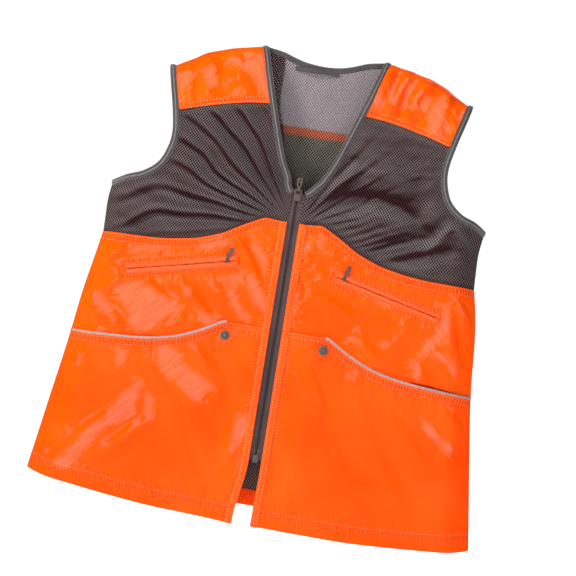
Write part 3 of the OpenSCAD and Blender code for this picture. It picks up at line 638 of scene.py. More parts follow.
class Sheet:
    """A grid of pattern places between four edges, pushed outwards by a height field."""

    def __init__(self, side, bottom, top, inner, outer, columns, rows, row_map=None, lift=0.0):
        bottom, top, inner, outer = (curve(c) for c in (bottom, top, inner, outer))
        across, up = np.linspace(0, 1, columns), np.linspace(0, 1, rows)
        if row_map:            # pairs: share of the way up, share of the rows used by then
            way, used = zip(*row_map)
            up = np.interp(up, used, way)
        self.S, self.V = np.meshgrid(across, up, indexing="ij")
        s, v = self.S[..., None], self.V[..., None]
        # Coons patch: the edges blended, less the corners counted twice
        place = ((1 - v) * point_at(bottom, self.S) + v * point_at(top, self.S)
                 + (1 - s) * point_at(inner, self.V) + s * point_at(outer, self.V)
                 - ((1 - s) * (1 - v) * bottom[0] + s * (1 - v) * bottom[-1]
                    + (1 - s) * v * top[0] + s * v * top[-1]))
        self.x, self.z = place[..., 0], place[..., 1]
        self.side, self.lift = side, lift
        self.X, self.Z = lay(side, self.x, self.z)
        self.h = np.zeros_like(self.x)
        self.weights = {}      # attributes for the materials

    def points(self):
        flat = stack(self.X, SIDE_PLANE - front_depth(self.x, self.z) - self.lift, self.Z)
        n = unit(np.cross(np.gradient(flat, axis=0), np.gradient(flat, axis=1)))
        n *= np.sign(-n[..., 1:2] + 1e-9)
        n[..., 1] -= 0.8       # cloth moves mostly to the front, so the side edges stay put
        n /= np.linalg.norm(n, axis=-1, keepdims=True)
        return flat + n * self.h[..., None]

    def build(self, name, material, thickness, hole=None):
        points = self.points().reshape(-1, 3)
        faces = grid_faces(*self.x.shape, flip=self.side < 0)
        uv = stack(self.x, self.z).reshape(-1, 2)
        used = np.arange(len(points))
        if hole is not None:
            faces = faces[~hole.ravel()[faces].any(1)]
            used = np.unique(faces)
            index = np.full(len(points), -1)
            index[used] = np.arange(len(used))
            faces = index[faces]
        piece = mesh_object(name, points[used], faces, material, uv[used])
        for key, values in self.weights.items():
            store(piece, key, values.ravel()[used])
        sharpen_rim(piece)
        solidify(piece, thickness, -1.0).use_quality_normals = True
        return piece


def round_profile(width, height, corners):
    """A rounded flat profile (superellipse): places across and out."""
    def soft(value):
        return math.copysign(abs(value) ** (2 / 2.6), value)
    angles = np.linspace(0, TAU, corners, endpoint=False)
    return np.array([(soft(math.cos(a)) * width / 2, soft(math.sin(a)) * height / 2)
                     for a in angles])


def tube(name, path, normals, profile, material, cap=True):
    """Sweeps a profile, or one profile per point, along a path with outward normals."""
    path = np.asarray(path, float)
    tangents = unit(np.gradient(path, axis=0))
    normals = np.broadcast_to(np.asarray(normals, float), path.shape)
    n = unit(normals - (normals * tangents).sum(1, keepdims=True) * tangents)
    across = np.cross(tangents, n)
    if profile.ndim == 2:
        profile = np.repeat(profile[None], len(path), 0)
    points = path[:, None] + across[:, None] * profile[..., 0:1] + n[:, None] * profile[..., 1:2]
    uv = np.stack(np.meshgrid(run(path), run(profile[0]), indexing="ij"), -1)
    piece = mesh_object(name, points, ring_faces(*points.shape[:2]), material, uv)
    if cap:
        bm = bmesh.new()
        bm.from_mesh(piece.data)
        bmesh.ops.holes_fill(bm, edges=[e for e in bm.edges if e.is_boundary], sides=0)
        bmesh.ops.recalc_face_normals(bm, faces=bm.faces)
        bm.to_mesh(piece.data)
        bm.free()
    return piece


def join(pieces, name):
    bpy.ops.object.select_all(action="DESELECT")
    for piece in pieces:
        piece.select_set(True)
    bpy.context.view_layer.objects.active = pieces[0]
    bpy.ops.object.join()
    pieces[0].name = name
    return pieces[0]


def attach(piece, slot, motion, *cad_names):
    if cad_names:
        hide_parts(*cad_names)
    if isinstance(motion, str):
        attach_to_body(piece, motion)
    else:
        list(motion)
        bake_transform(piece)


def swing(side, part, bend):
    """The vest, a moving part and the places where the cloth between them starts and ends its bend,
    as a tuple.
    """
    start, end = bend
    return "vest", part + "_" + HAND[side], (side * start * MM, 0, 0), (side * end * MM, 0, 0)


def edge_swing(side):
    return swing(side, "front_edge", EDGE_BEND)


# ------------------------------------------------------------------ stitches
def tree_of(*pieces):
    """One search tree of the pieces' faces, all read with the corner count of the first."""
    points, faces, start = [], [], 0
    for piece in pieces:
        mesh = piece.data
        co = np.zeros(len(mesh.vertices) * 3, np.float32)
        mesh.vertices.foreach_get("co", co)
        points += [Vector(p) for p in co.reshape(-1, 3).tolist()]
        index = np.zeros(len(mesh.loops), np.int32)
        mesh.loops.foreach_get("vertex_index", index)
        corners = len(mesh.polygons[0].vertices)
        faces += [tuple(f) for f in (index.reshape(-1, corners) + start).tolist()]
        start += len(mesh.vertices)
    return BVHTree.FromPolygons(points, faces)


def drop_on(tree, X, Z, front):
    """Surface points and outward normals at X, Z, looking from the front or from the back."""
    points, normals = [], []
    to_back = 1 if front else -1
    direction = Vector((0, to_back, 0))
    for x, z in zip(X, Z):
        start = Vector((x * MM, -0.5 * to_back, (z - LOOP_HEIGHT) * MM))
        place, normal = tree.ray_cast(start, direction)[:2]
        if place is None:      # beside the cloth: as deep as the place before
            points.append((x, points[-1][1] if points else FRONT_PLANE, z))
            normals.append((0, -to_back, 0))
        else:
            points.append((x, place.y / MM, z))
            normals.append(tuple(-normal if normal.dot(direction) > 0 else normal))
    return np.array(points), np.array(normals)


def stitch_points(length, width, height):
    """One stitch: a thread that rises out of the cloth, runs and dives back."""
    points = []
    for t in (i / 6 for i in range(7)):
        arch = math.sin(math.pi * t)
        r = 0.25 + 0.75 * arch ** 0.6
        for a in (TAU * j / 6 for j in range(6)):
            out = math.sin(a) * height / 2 * r + height * 0.55 * arch - height * 0.25
            points.append(((t - 0.5) * length, math.cos(a) * width / 2 * r, out))
    return np.array(points)


def sew(name, paths, tree, motion, slot="shell_orange", material=None, pitch=3.0, length=2.35,
        width=0.62, height=0.5, lift=0.05, front=True):
    """Rows of slightly askew stitches along X, Z paths, laid on the surface."""
    stitch, stitch_faces = stitch_points(length, width, height), ring_faces(7, 6)
    random = np.random.RandomState(3)
    points, faces, start = [], [], 0
    for path in paths:
        path = np.asarray(path, float)
        total = float(np.linalg.norm(np.diff(path, axis=0), axis=1).sum())
        count = max(1, int(total / pitch))
        t = (np.arange(count) + 0.5) / count
        here = point_at(path, t)
        ahead = point_at(path, np.clip(t + 0.6 / max(total, 1), 0, 1))
        places, normals = drop_on(tree, here[:, 0], here[:, 1], front)
        next_places, _ = drop_on(tree, ahead[:, 0], ahead[:, 1], front)
        for place, next_place, normal in zip(places, next_places, normals):
            along = next_place - place
            if np.linalg.norm(along) < 1e-6:
                continue
            along /= np.linalg.norm(along)
            normal = normal - normal.dot(along) * along
            normal /= np.linalg.norm(normal) + 1e-9
            a = random.uniform(-0.12, 0.12)
            aside = np.cross(normal, along)
            turned = along * math.cos(a) + aside * math.sin(a)
            turned_aside = aside * math.cos(a) - along * math.sin(a)
            points.append(place + normal * lift + stitch[:, 0:1] * turned
                          + stitch[:, 1:2] * turned_aside + stitch[:, 2:3] * normal)
            faces.append(stitch_faces + start)
            start += len(stitch)
    piece = mesh_object(name, np.vstack(points), np.vstack(faces), material or ORANGE_THREAD)
    attach(piece, slot, motion)


# ------------------------------------------------------------------ shader building
class Value:
    """A shader output that can be used in sums; each operation adds a node."""

    def __init__(self, shader, socket):
        self.shader, self.socket = shader, socket

    def __add__(self, other):
        return self.shader.math("ADD", self, other)

    def __radd__(self, other):
        return self.shader.math("ADD", other, self)

    def __sub__(self, other):
        return self.shader.math("SUBTRACT", self, other)

    def __rsub__(self, other):
        return self.shader.math("SUBTRACT", other, self)

    def __mul__(self, other):
        return self.shader.math("MULTIPLY", self, other)

    def __truediv__(self, other):
        return self.shader.math("DIVIDE", self, other)

    def __pow__(self, other):
        return self.shader.math("POWER", self, other)

    def __gt__(self, other):
        return self.shader.math("GREATER_THAN", self, other)

    def __lt__(self, other):
        return self.shader.math("LESS_THAN", self, other)

    def __abs__(self):
        return self.shader.math("ABSOLUTE", self)

    def remap(self, low, high, to_low, to_high):
        inputs = {0: self, 1: low, 2: high, 3: to_low, 4: to_high}
        return self.shader.node("ShaderNodeMapRange", inputs)


class Shader:
    """A material with a Principled BSDF and short ways to add nodes."""

    def __init__(self, name):
        self.material = bpy.data.materials.new(name)
        self.material.use_nodes = True
        self.tree = self.material.node_tree
        self.tree.nodes.clear()
        self.output = self.tree.nodes.new("ShaderNodeOutputMaterial")
        self.principled = self.tree.nodes.new("ShaderNodeBsdfPrincipled")
        self.tree.links.new(self.principled.outputs[0], self.output.inputs[0])

    def feed(self, socket, value):
        if isinstance(value, Value):
            self.tree.links.new(value.socket, socket)
        elif socket.type == "RGBA":
            socket.default_value = (*value, 1)
        else:
            socket.default_value = value

    def node(self, kind, inputs=(), output=0, **settings):
        node = self.tree.nodes.new(kind)
        for key, value in settings.items():
            setattr(node, key, value)
        for key, value in dict(inputs).items():
            self.feed(node.inputs[key], value)
        return Value(self, node.outputs[output])

    def math(self, operation, *values, clamp=False):
        inputs = dict(enumerate(values))
        return self.node("ShaderNodeMath", inputs, operation=operation, use_clamp=clamp)

    def sine(self, value):
        return self.math("SINE", value)

    def fract(self, value):
        return self.math("FRACT", value)

    def uv(self):
        return self.node("ShaderNodeUVMap", uv_map="UVMap")

    def object_place(self):
        return self.node("ShaderNodeTexCoord", output="Object")

    def attribute(self, name):
        return self.node("ShaderNodeAttribute", output="Fac", attribute_name=name,
                         attribute_type="GEOMETRY")

    def split(self, vector):
        outputs = self.node("ShaderNodeSeparateXYZ", {0: vector}).socket.node.outputs
        return [Value(self, socket) for socket in outputs]

    def stretch(self, vector, x, y, z=1.0):
        return self.node("ShaderNodeMapping", {"Vector": vector, "Scale": (x, y, z)})

    def noise(self, vector, scale=1.0, detail=3.0, rough=0.55, distortion=0.0):
        return self.node("ShaderNodeTexNoise", {
            "Vector": vector, "Scale": scale, "Detail": detail, "Roughness": rough,
            "Distortion": distortion}, output="Fac")

    def mix(self, share, a, b):
        return self.node("ShaderNodeMix", {0: share, 6: a, 7: b}, output=2, data_type="RGBA")

    def bump(self, height, distance, strength=1.0, normal=None):
        inputs = {"Height": height, "Distance": distance, "Strength": strength}
        if normal is not None:
            inputs["Normal"] = normal
        return self.node("ShaderNodeBump", inputs)

    def finish(self, color, rough, normal, **others):
        """Feeds the BSDF; other inputs are named as in Blender, in lower case with _."""
        others.update(base_color=color, roughness=rough, normal=normal)
        for socket in self.principled.inputs:
            key = socket.name.lower().replace(" ", "_")
            if key in others:
                self.feed(socket, others[key])
        return self.material


def srgb(red, green, blue):
    """Linear colour from 0..255 sRGB."""
    def linear(c):
        c = c / 255
        return c / 12.92 if c <= 0.04045 else ((c + 0.055) / 1.055) ** 2.4
    return linear(red), linear(green), linear(blue)


def darker(color, red, green, blue):
    return srgb(color[0] - red, color[1] - green, color[2] - blue)


# ------------------------------------------------------------------ materials
NYLON_THREAD = 0.0009      # m, spacing of the plain weave
RIPSTOP = 0.0055           # m, spacing of the ripstop squares
GATHER_PITCH = 0.0047      # m
MESH_PITCH = 4.2           # mm
SQUARE_MM = 1000 / MESH_PITCH


def nylon(name, base=(254, 72, 0), light=(255, 83, 0), rough=(0.09, 0.15), sheen=0.0):
    """Coated nylon: fine weave, faint ripstop squares, cloudy gloss, small creases."""
    s = Shader(name)
    uv = s.uv()
    clouds = s.noise(uv, scale=9.0, rough=0.5)
    blotches = s.noise(s.stretch(uv, 60, 22), detail=4.0, rough=0.6)
    color = s.mix(clouds.remap(0.35, 0.65, 0.0, 1.0), srgb(*base), srgb(*light))
    color = s.mix(blotches.remap(0.62, 0.80, 0.0, 0.35), color, srgb(238, 50, 0))
    place = s.split(uv)
    weave = (abs(s.sine(place[0] * (math.pi / NYLON_THREAD)))
             * abs(s.sine(place[1] * (math.pi / NYLON_THREAD))))
    ripstop = s.math("MAXIMUM", s.fract(place[0] / RIPSTOP) > 0.90,
                     s.fract(place[1] / RIPSTOP) > 0.90)
    color = s.mix(weave * 0.08, color, srgb(255, 104, 20))
    crumple = s.noise(s.stretch(uv, 130, 85), detail=1.5, rough=0.45, distortion=0.6)
    slub = s.noise(s.stretch(uv, 900, 60), detail=2.0, rough=0.5)
    normal = s.bump(weave, distance=0.00002, strength=0.12)
    normal = s.bump(ripstop, distance=0.00003, strength=0.2, normal=normal)
    normal = s.bump(crumple, distance=0.0007, strength=0.12, normal=normal)
    normal = s.bump(slub, distance=0.00005, strength=0.05, normal=normal)
    # short gathers inside the stitched bands, from the weights stored on the mesh, with painted shade
    # in their valleys and a painted highlight on their crests
    for name, axis in (("gx", 0), ("gz", 1)):
        weight = s.attribute(name)
        jitter = s.noise(s.stretch(uv, 70, 70), detail=2.0)
        depth = s.noise(s.stretch(uv, 160, 160), detail=2.0).remap(0.3, 0.7, 0.35, 1.0)
        wave = s.sine(place[axis] * (TAU / GATHER_PITCH) + jitter * 9.0)
        amount = s.math("MULTIPLY", weight, depth, clamp=True)
        normal = s.bump(wave * amount, distance=0.00095, normal=normal)
        # painted shade: the colour darkens in the valleys of the gathers
        color = s.mix(wave.remap(0.1, -0.9, 0.0, 0.55) * amount, color, srgb(206, 44, 0))
        # painted highlight: the colour turns salmon on the crests of the gathers
        color = s.mix(wave.remap(0.55, 0.95, 0.0, 0.42) * amount, color, srgb(255, 132, 84))
    # crisp-edged patches where the coating lies tilted towards the light; where gl < 0 the colour is
    # darkened to a painted shade
    patch = s.attribute("gl")
    color = s.mix(patch.remap(-1.0, -6.0, 0.0, 0.85), color, srgb(158, 22, 8))
    aside = abs(place[0])
    diagonal = s.node("ShaderNodeCombineXYZ", {0: aside - place[1], 1: aside + place[1]})
    ragged = s.noise(s.stretch(diagonal, 38, 120), detail=4.0, rough=0.62)
    streaks = s.noise(s.stretch(diagonal, 22, 210), rough=0.6)
    edge = patch + (ragged + streaks * 0.6 - 0.8) * 20.0
    inside = edge.remap(8.0, 10.0, 0.0, 1.0)
    soft = edge.remap(8.0, 17.0, 0.0, 1.0) * streaks.remap(0.38, 0.62, 0.45, 1.0)
    geometry = s.node("ShaderNodeNewGeometry", output="Position")
    position = s.split(geometry)
    surface_normal = Value(s, geometry.socket.node.outputs["Normal"])
    inside = inside * s.split(surface_normal)[1].remap(-0.6, -0.85, 0.0, 1.0)    # front faces only
    specular = (1.0 - inside) * 0.28 + inside * soft * 0.52
    # the normal that mirrors the softbox to the camera, over the garment
    aim_x = s.math("MULTIPLY_ADD", position[0], -0.454, -0.134)
    aim_z = s.math("MULTIPLY_ADD", position[2], -0.45, -0.0385)
    aim = s.node("ShaderNodeCombineXYZ", {0: aim_x, 1: -0.985, 2: aim_z})
    aim = s.node("ShaderNodeVectorMath", {0: aim}, operation="NORMALIZE")
    normal = s.node("ShaderNodeMix", {0: inside * 0.85, 4: normal, 5: aim}, output=1,
                    data_type="VECTOR")
    normal = s.node("ShaderNodeVectorMath", {0: normal}, operation="NORMALIZE")
    return s.finish(color, clouds.remap(0.3, 0.7, *rough) + slub * 0.03, normal,
                    specular_ior_level=specular, sheen_weight=sheen, sheen_roughness=0.35,
                    sheen_tint=srgb(255, 150, 110))


def mesh_cloth(name, base, light, dim, cut=0.35, rough=0.5, hole_size=None, upper=None, stripe=None):
    """Knitted mesh: a diamond lattice of threads. gx is painted light: it tells how far they catch
    the light.
    """
    s = Shader(name)
    uv = s.uv()
    place = s.split(s.stretch(uv, SQUARE_MM, SQUARE_MM * 0.80))
    wobble = s.noise(uv, scale=140.0, detail=2.0)
    first = place[0] + place[1] + wobble * 0.25
    second = place[0] - place[1] + wobble * 0.25
    # 0 in the middle of a hole, 0.5 on a thread
    first, second = abs(s.fract(first) - 0.5), abs(s.fract(second) - 0.5)
    distance = (first ** 3.0 + second ** 3.0) ** (1 / 3)
    # painted shade: the holes get base, a dark colour for the shaded inside behind the mesh
    lattice = distance.remap(cut - 0.05, cut + 0.07, 0.0, 1.0)
    knit = s.sine(place[1] * (TAU * 3.0))
    patches = s.noise(uv, scale=14.0)
    fine = s.noise(uv, scale=1800.0, detail=2.0)
    painted_light = s.math("MULTIPLY", s.attribute("gx"), patches.remap(0.3, 0.7, 0.82, 1.1), clamp=True)
    # painted light: the threads go from the dim to the light colour where gx says the cloth faces the
    # light
    color = s.mix(lattice, srgb(*base), s.mix(painted_light, srgb(*dim), srgb(*light)))
    if upper:      # a single, paler layer above a stripe, shaded on its front by gz
        height = s.split(uv)[1]
        shade = s.attribute("gz")
        gap, low, high = (srgb(*c) for c in upper)
        pale = s.mix(lattice, gap, s.mix(painted_light, low, high))
        color = s.mix(height > 0.0985, color, pale)
        striped = s.mix(lattice, srgb(*stripe[0]), srgb(*stripe[1]))
        color = s.mix((height > 0.0875) * (height < 0.0995), color, striped)
        # painted shadow of the neck edge: darker where gz says, on front faces only
        facing = s.split(s.node("ShaderNodeNewGeometry", output="True Normal"))[1]
        dark = s.mix(lattice, srgb(34, 4, 8), srgb(78, 34, 36))
        color = s.mix(shade * (facing < 0.0), color, dark)
    color = s.mix(fine.remap(0.3, 0.7, 0.0, 0.25), color, srgb(*base))
    normal = s.bump(lattice + knit * 0.12, distance=0.0004, strength=0.6)
    normal = s.bump(fine, distance=0.0001, strength=0.4, normal=normal)
    s.finish(color, rough + fine * 0.1, normal, specular_ior_level=lattice * 0.3,
             sheen_weight=0.03, sheen_roughness=0.4, sheen_tint=srgb(200, 190, 190))
    if hole_size:
        cloth = Value(s, s.principled.outputs[0])
        clear = s.node("ShaderNodeBsdfTransparent")
        mixed = s.node("ShaderNodeMixShader", {0: distance < hole_size, 1: cloth, 2: clear})
        s.feed(s.output.inputs[0], mixed)
    return s.material


def woven_tape(name, base, light, rib_pitch=0.0011):
    """Woven tape: herringbone ribs with a little fuzz; the rib pitch is in metres."""
    s = Shader(name)
    uv = s.uv()
    place = s.split(uv)
    zigzag = abs(s.fract(place[1] / 0.0030) - 0.5)
    rib = abs(s.sine((place[0] / rib_pitch + zigzag * 3.0) * math.pi))
    fuzz = s.noise(uv, scale=2200.0, detail=2.0)
    patches = s.noise(uv, scale=40.0)
    color = s.mix(rib * 0.8, srgb(*base), srgb(*light))
    color = s.mix(patches.remap(0.4, 0.7, 0, 0.4), color, srgb(*base))
    normal = s.bump(rib, distance=0.00022, strength=0.8)
    normal = s.bump(fuzz, distance=0.00012, strength=0.6, normal=normal)
    return s.finish(color, 0.52 + fuzz * 0.2, normal, specular_ior_level=0.35,
                    sheen_weight=0.3, sheen_roughness=0.4)


def reflective(name, base, light):
    """Grey reflective piping: a glass-bead coating with fine cross wrinkles."""
    s = Shader(name)
    uv = s.uv()
    beads = s.node("ShaderNodeTexVoronoi", {"Vector": uv, "Scale": 4200.0}, output="Distance")
    wrinkles = s.noise(s.stretch(uv, 420, 90))
    color = s.mix(beads.remap(0.0, 0.6, 0.0, 1.0), srgb(*base), srgb(*light))
    color = s.mix(wrinkles.remap(0.5, 0.75, 0, 0.6), color, darker(base, 44, 44, 44))
    normal = s.bump(beads, distance=0.00006, strength=0.5)
    normal = s.bump(wrinkles, distance=0.0004, strength=0.6, normal=normal)
    return s.finish(color, 0.38, normal, specular_ior_level=0.6, metallic=0.25)


def metal(name, base=(106, 90, 84), edge=(190, 172, 160), rough=0.42, metallic=0.35):
    """Dark metal with scratches, spots and edges worn bright."""
    s = Shader(name)
    place = s.object_place()
    pointiness = s.node("ShaderNodeNewGeometry", output="Pointiness")
    edges = pointiness.remap(0.505, 0.56, 0.0, 1.0)
    scratches = s.noise(s.stretch(place, 2600, 300, 2600))
    clouds = s.noise(place, scale=420.0, detail=4.0)
    spots = s.noise(place, scale=1500.0, rough=0.7)
    color = s.mix(clouds.remap(0.35, 0.7, 0, 0.7), srgb(*base), darker(base, 26, 26, 24))
    wear = s.math("MULTIPLY", edges, spots.remap(0.35, 0.6, 0.2, 1.0), clamp=True)
    color = s.mix(wear, color, srgb(*edge))
    normal = s.bump(scratches, distance=0.00005, strength=0.5)
    normal = s.bump(spots, distance=0.00006, strength=0.4, normal=normal)
    return s.finish(color, (rough - 0.1) + spots * 0.3, normal, metallic=metallic,
                    specular_ior_level=0.5)


def plastic(name, base, light):
    s = Shader(name)
    grain = s.noise(s.object_place(), scale=900.0)
    color = s.mix(grain.remap(0.35, 0.65, 0, 1), srgb(*base), srgb(*light))
    return s.finish(color, 0.3 + grain * 0.25, s.bump(grain, distance=0.00008, strength=0.6),
                    specular_ior_level=0.5)


def thread(name, base, light):
    s = Shader(name)
    twist = s.noise(s.object_place(), scale=3500.0, detail=2.0)
    color = s.mix(twist.remap(0.35, 0.65, 0, 1), srgb(*base), srgb(*light))
    return s.finish(color, 0.42, s.bump(twist, distance=0.0001, strength=0.8),
                    specular_ior_level=0.5, sheen_weight=0.2)


SHELL = nylon("shell_nylon")
POCKET = nylon("pocket_nylon", base=(254, 69, 0), light=(255, 79, 0))
SHOULDER = nylon("shoulder_nylon", base=(255, 76, 0), light=(255, 88, 0), rough=(0.11, 0.17))
# a spare lining cloth that no piece wears
nylon("lining_nylon", base=(214, 74, 4), light=(232, 90, 10), rough=(0.5, 0.6), sheen=0.05)
PLACKET = nylon("placket_nylon", base=(254, 76, 2), light=(255, 90, 8), rough=(0.15, 0.22))
CHEST_MESH = mesh_cloth("chest_mesh", base=(26, 5, 8), light=(130, 124, 122), dim=(66, 36, 37),
                        cut=0.37, rough=0.42, hole_size=0.10)
BACK_MESH = mesh_cloth("back_mesh", base=(34, 16, 16), light=(140, 136, 128), dim=(92, 74, 70))
LINING_MESH = mesh_cloth("back_lining_mesh", base=(28, 12, 12), light=(138, 138, 124),
                         dim=(88, 76, 70), hole_size=0.10,
                         upper=((30, 18, 24), (142, 130, 136), (188, 175, 181)),
                         stripe=((70, 22, 12), (208, 108, 78)))
BACK_BAND = nylon("back_band_nylon", base=(255, 110, 40), light=(255, 130, 70), rough=(0.4, 0.5))
BINDING = woven_tape("binding_tape", base=(52, 48, 49), light=(98, 93, 94))
PIPING = reflective("binding_piping", base=(104, 99, 97), light=(132, 126, 124))
POCKET_PIPING = reflective("pocket_piping", base=(158, 136, 130), light=(188, 164, 156))
ZIP_TAPE = woven_tape("zip_tape", base=(64, 49, 50), light=(104, 86, 86), rib_pitch=0.0009)
ZIP_COIL = plastic("zip_coil", base=(48, 37, 38), light=(92, 78, 78))
CHEST_COIL = plastic("chest_coil", base=(150, 44, 10), light=(206, 84, 30))
CHEST_TAPE = nylon("chest_zip_tape", base=(250, 80, 30), light=(255, 96, 46), rough=(0.24, 0.32))
GUNMETAL = metal("gunmetal")
SLIDER_METAL = metal("slider_metal", base=(52, 38, 34), edge=(112, 96, 90), rough=0.46,
                     metallic=0.2)
PULL_METAL = metal("pull_metal", base=(34, 16, 14), edge=(120, 84, 74), rough=0.5, metallic=0.0)
BOX_METAL = metal("box_metal", base=(70, 60, 60), edge=(116, 106, 103), rough=0.4)
ORANGE_THREAD = thread("orange_thread", base=(255, 118, 62), light=(255, 168, 128))
DARK_THREAD = thread("dark_thread", base=(84, 78, 78), light=(138, 130, 130))
BAG_CLOTH = woven_tape("pocket_cloth", base=(52, 48, 48), light=(84, 80, 80), rib_pitch=0.0008)

BINDING_STITCH = dict(slot="binding_grey", material=DARK_THREAD, pitch=2.7, length=2.0,
                      width=0.5, height=0.4)


# ------------------------------------------------------------------ relief of the front cloth
def ribs(along, across, start, end, pitch, height, seed, fade=3.0):
    """Short gathers across a stitched band that reaches from start to end."""
    phase = along / pitch * TAU + 2.6 * noise(seed, along / 15.0, across / 60.0 + seed)
    strength = 0.55 + 0.6 * noise(seed + 1, along / 12.0, across / 16.0)
    return height * np.cos(phase) * strength * band(across, start, 1.6, end, fade)


def gathers(along, away, start, reach, height, seed):
    """Loose flutes that hang from a gathered seam and die out away from it."""
    u = along / 8.0
    sway = 0.35 * noise(seed + 2, along / 40.0, away / 30.0)
    flutes = (noise(seed, u + sway, away / 46.0 + seed * 3.3)
              + 0.5 * noise(seed + 3, u * 1.9, away / 30.0))
    reach = reach * (0.75 + 0.5 * noise(seed + 5, along / 22.0, 0.0))
    return height * flutes * rise(away, start, 5.0) * np.exp(-np.maximum(away - start, 0) / reach)


def pleats(turns, skew):
    return np.cos(TAU * (turns + skew * np.cos(TAU * turns)))


def chest_zip_place(side, X, Z):
    """Places along and across the tilted chest zip."""
    dx, dz = side * X - CHEST_ZIP_X, Z - CHEST_ZIP_Z
    c, s = math.cos(CHEST_ZIP_TILT), math.sin(CHEST_ZIP_TILT)
    return dx * c - dz * s, dx * s + dz * c


def chest_zip_point(side, along, across, y):
    c, s = math.cos(CHEST_ZIP_TILT), math.sin(CHEST_ZIP_TILT)
    return stack(side * (CHEST_ZIP_X + (along * c + across * s)), y,
                 CHEST_ZIP_Z + (-along * s + across * c))


def frame_distance(along, across):
    """Distance outside the chest zip's frame."""
    return np.sqrt(np.maximum(np.abs(along) - CHEST_FRAME[0], 0) ** 2
                   + np.maximum(np.abs(across) - CHEST_FRAME[1], 0) ** 2)


def below_seam(x, z):
    return z_on(SEAM_LINE, x) - z


def below_mouth(x, z):
    return z_on(MOUTH_LINE, np.maximum(x, 56)) - z


def chest_relief(side, x, z, X, Z):
    right = side < 0
    angle = -42 if right else -8
    h = ridges("chest", side, X, Z) * (0.35 if right else 1.2)
    # long pleats that fan out from the top of the zip
    out, up = (-(X + 2), Z + 50) if right else (X + 6, Z + 62)
    r, fan = np.hypot(out, up), np.degrees(np.arctan2(up, out))
    if right:
        fan = (fan + 3.2 * noise(4, r / 60.0, fan / 28.0)
               + 8.0 * rise(r, 130, 160) * noise(6, r / 90.0, fan / 50.0 + 3))
        uneven = 0.85 + 0.45 * noise(5, r / 70.0, fan / 12.0)
        h += 4.6 * pleats(fan / 10.6 + 0.12, 0.16) * rise(r, 12, 75) * uneven
    else:
        fan = fan + 2.6 * noise(4, r / 50.0, fan / 24.0)
        uneven = 0.85 + 0.5 * noise(5, r / 60.0, fan / 12.0)
        h += pleats(fan / 9.0 + 0.3, 0.12) * band(r, 12, 50, 130, 120) * rise(fan, 14, 14) * uneven
        # fine pleats above the seam
        u, v = turn(X, Z, 24)
        h += (0.8 * np.cos(v / 11.0 * TAU + 2.2 * noise(2, u / 60.0, v / 30.0))
              * bell(Z, -52, 26) * band(X, 30, 25, 150, 60))
    if right:
        h += 0.7 * folds(X, Z, angle, along=75, across=17, seed=0)
    else:
        h += 2.1 * folds(X, Z, angle, along=75, across=24, seed=2)
    h += 0.5 * folds(X, Z, angle + 25, along=22, across=9, seed=4)
    # calm along the bindings, the seam, the yoke, the zip and the side
    edge = np.minimum(path_distance(LAPEL, x, z, 3), path_distance(ARMHOLE, x, z, 3))
    h *= 0.10 + 0.90 * rise(edge, 0, 20)
    above_seam, below_yoke = -below_seam(x, z), z_on(YOKE_LINE, x) - z
    h *= rise(above_seam, 1, 18) * rise(below_yoke, 1, 18)
    h *= rise(x, 9, 14) * (0.15 + 0.85 * rise(-x, -280, 26))
    h += 3.2 * bell(z, 45, 70) * bell(x, 120, 80)                # the chest bulges
    h -= 2.2 * fall(below_yoke, 0, 9) * rise(edge, 0, 12)        # dips under the yoke
    h -= 1.5 * fall(above_seam, 0, 7) * rise(x, 12, 10)          # and at the chest seam
    return h


def shell_relief(side, x, z, X, Z):
    right = side < 0
    angle = -30 if right else 35
    seam, mouth = below_seam(x, z), below_mouth(x, z)
    h = ridges("shell", side, X, Z) + slopes("shell", side, X, Z) * 0.6
    h += 1.5 * folds(X, Z, angle, along=62, across=26, seed=1 if right else 3)
    h += 0.30 * folds(X, Z, angle + 50, along=30, across=14, seed=5)
    # calm at the seam, beside the main zip and around the chest zip
    h *= 0.10 + 0.90 * rise(seam, 2, 16)
    h *= 0.25 + 0.75 * rise(x, 18, 12)
    along, across = chest_zip_place(side, X, Z)
    ring = frame_distance(along, across)
    h *= 0.06 + 0.94 * rise(ring, 0, 13)
    # flutes below the seam and below the chest zip
    h += (gathers(x, seam, start=10.5, reach=22.0, height=1.15, seed=1 if right else 4)
          * (0.06 + 0.94 * rise(ring, 0, 10)))
    h += (gathers(along, -across, start=8.5, reach=24.0, height=1.15, seed=2 if right else 6)
          * fall(np.abs(along), 78, 16))
    # the stitched band below the seam: a groove on each side of a low swell
    h -= 1.2 * bell(seam, 11.5, 1.6)
    h -= 0.8 * bell(seam, 1.0, 1.4)
    h += 1.0 * bell(seam, 6.0, 4.0)
    # gathers beside the placket
    if not right:
        h += (ribs(z, x, 19.0, 30.0, pitch=15.0, height=1.2, seed=4, fade=6.0)
              * rise(-z, 80, 15) * rise(z, -212, 12))
    h += ribs(z, x, 19.5, 26.0, pitch=9.0, height=0.45, seed=6, fade=5.0) * rise(-z, 60, 15)
    # gathers around the chest zip's frame
    phase = along / 6.1 * TAU + 3 * noise(2, along / 20, across / 20)
    h += 0.32 * np.cos(phase) * bell(ring, 5, 4.5) * (np.abs(along) < 92)
    h *= 0.2 + 0.8 * rise(half_width(z) - x, 1, 24)
    # below the mouth it is the pocket's inner wall, pressed flat and set back
    return h * fall(mouth, 0, 14) - 3.4 * rise(mouth, 0, 16) * (
        1 - bell(np.hypot(x - 74, z + 227), 0, 16))


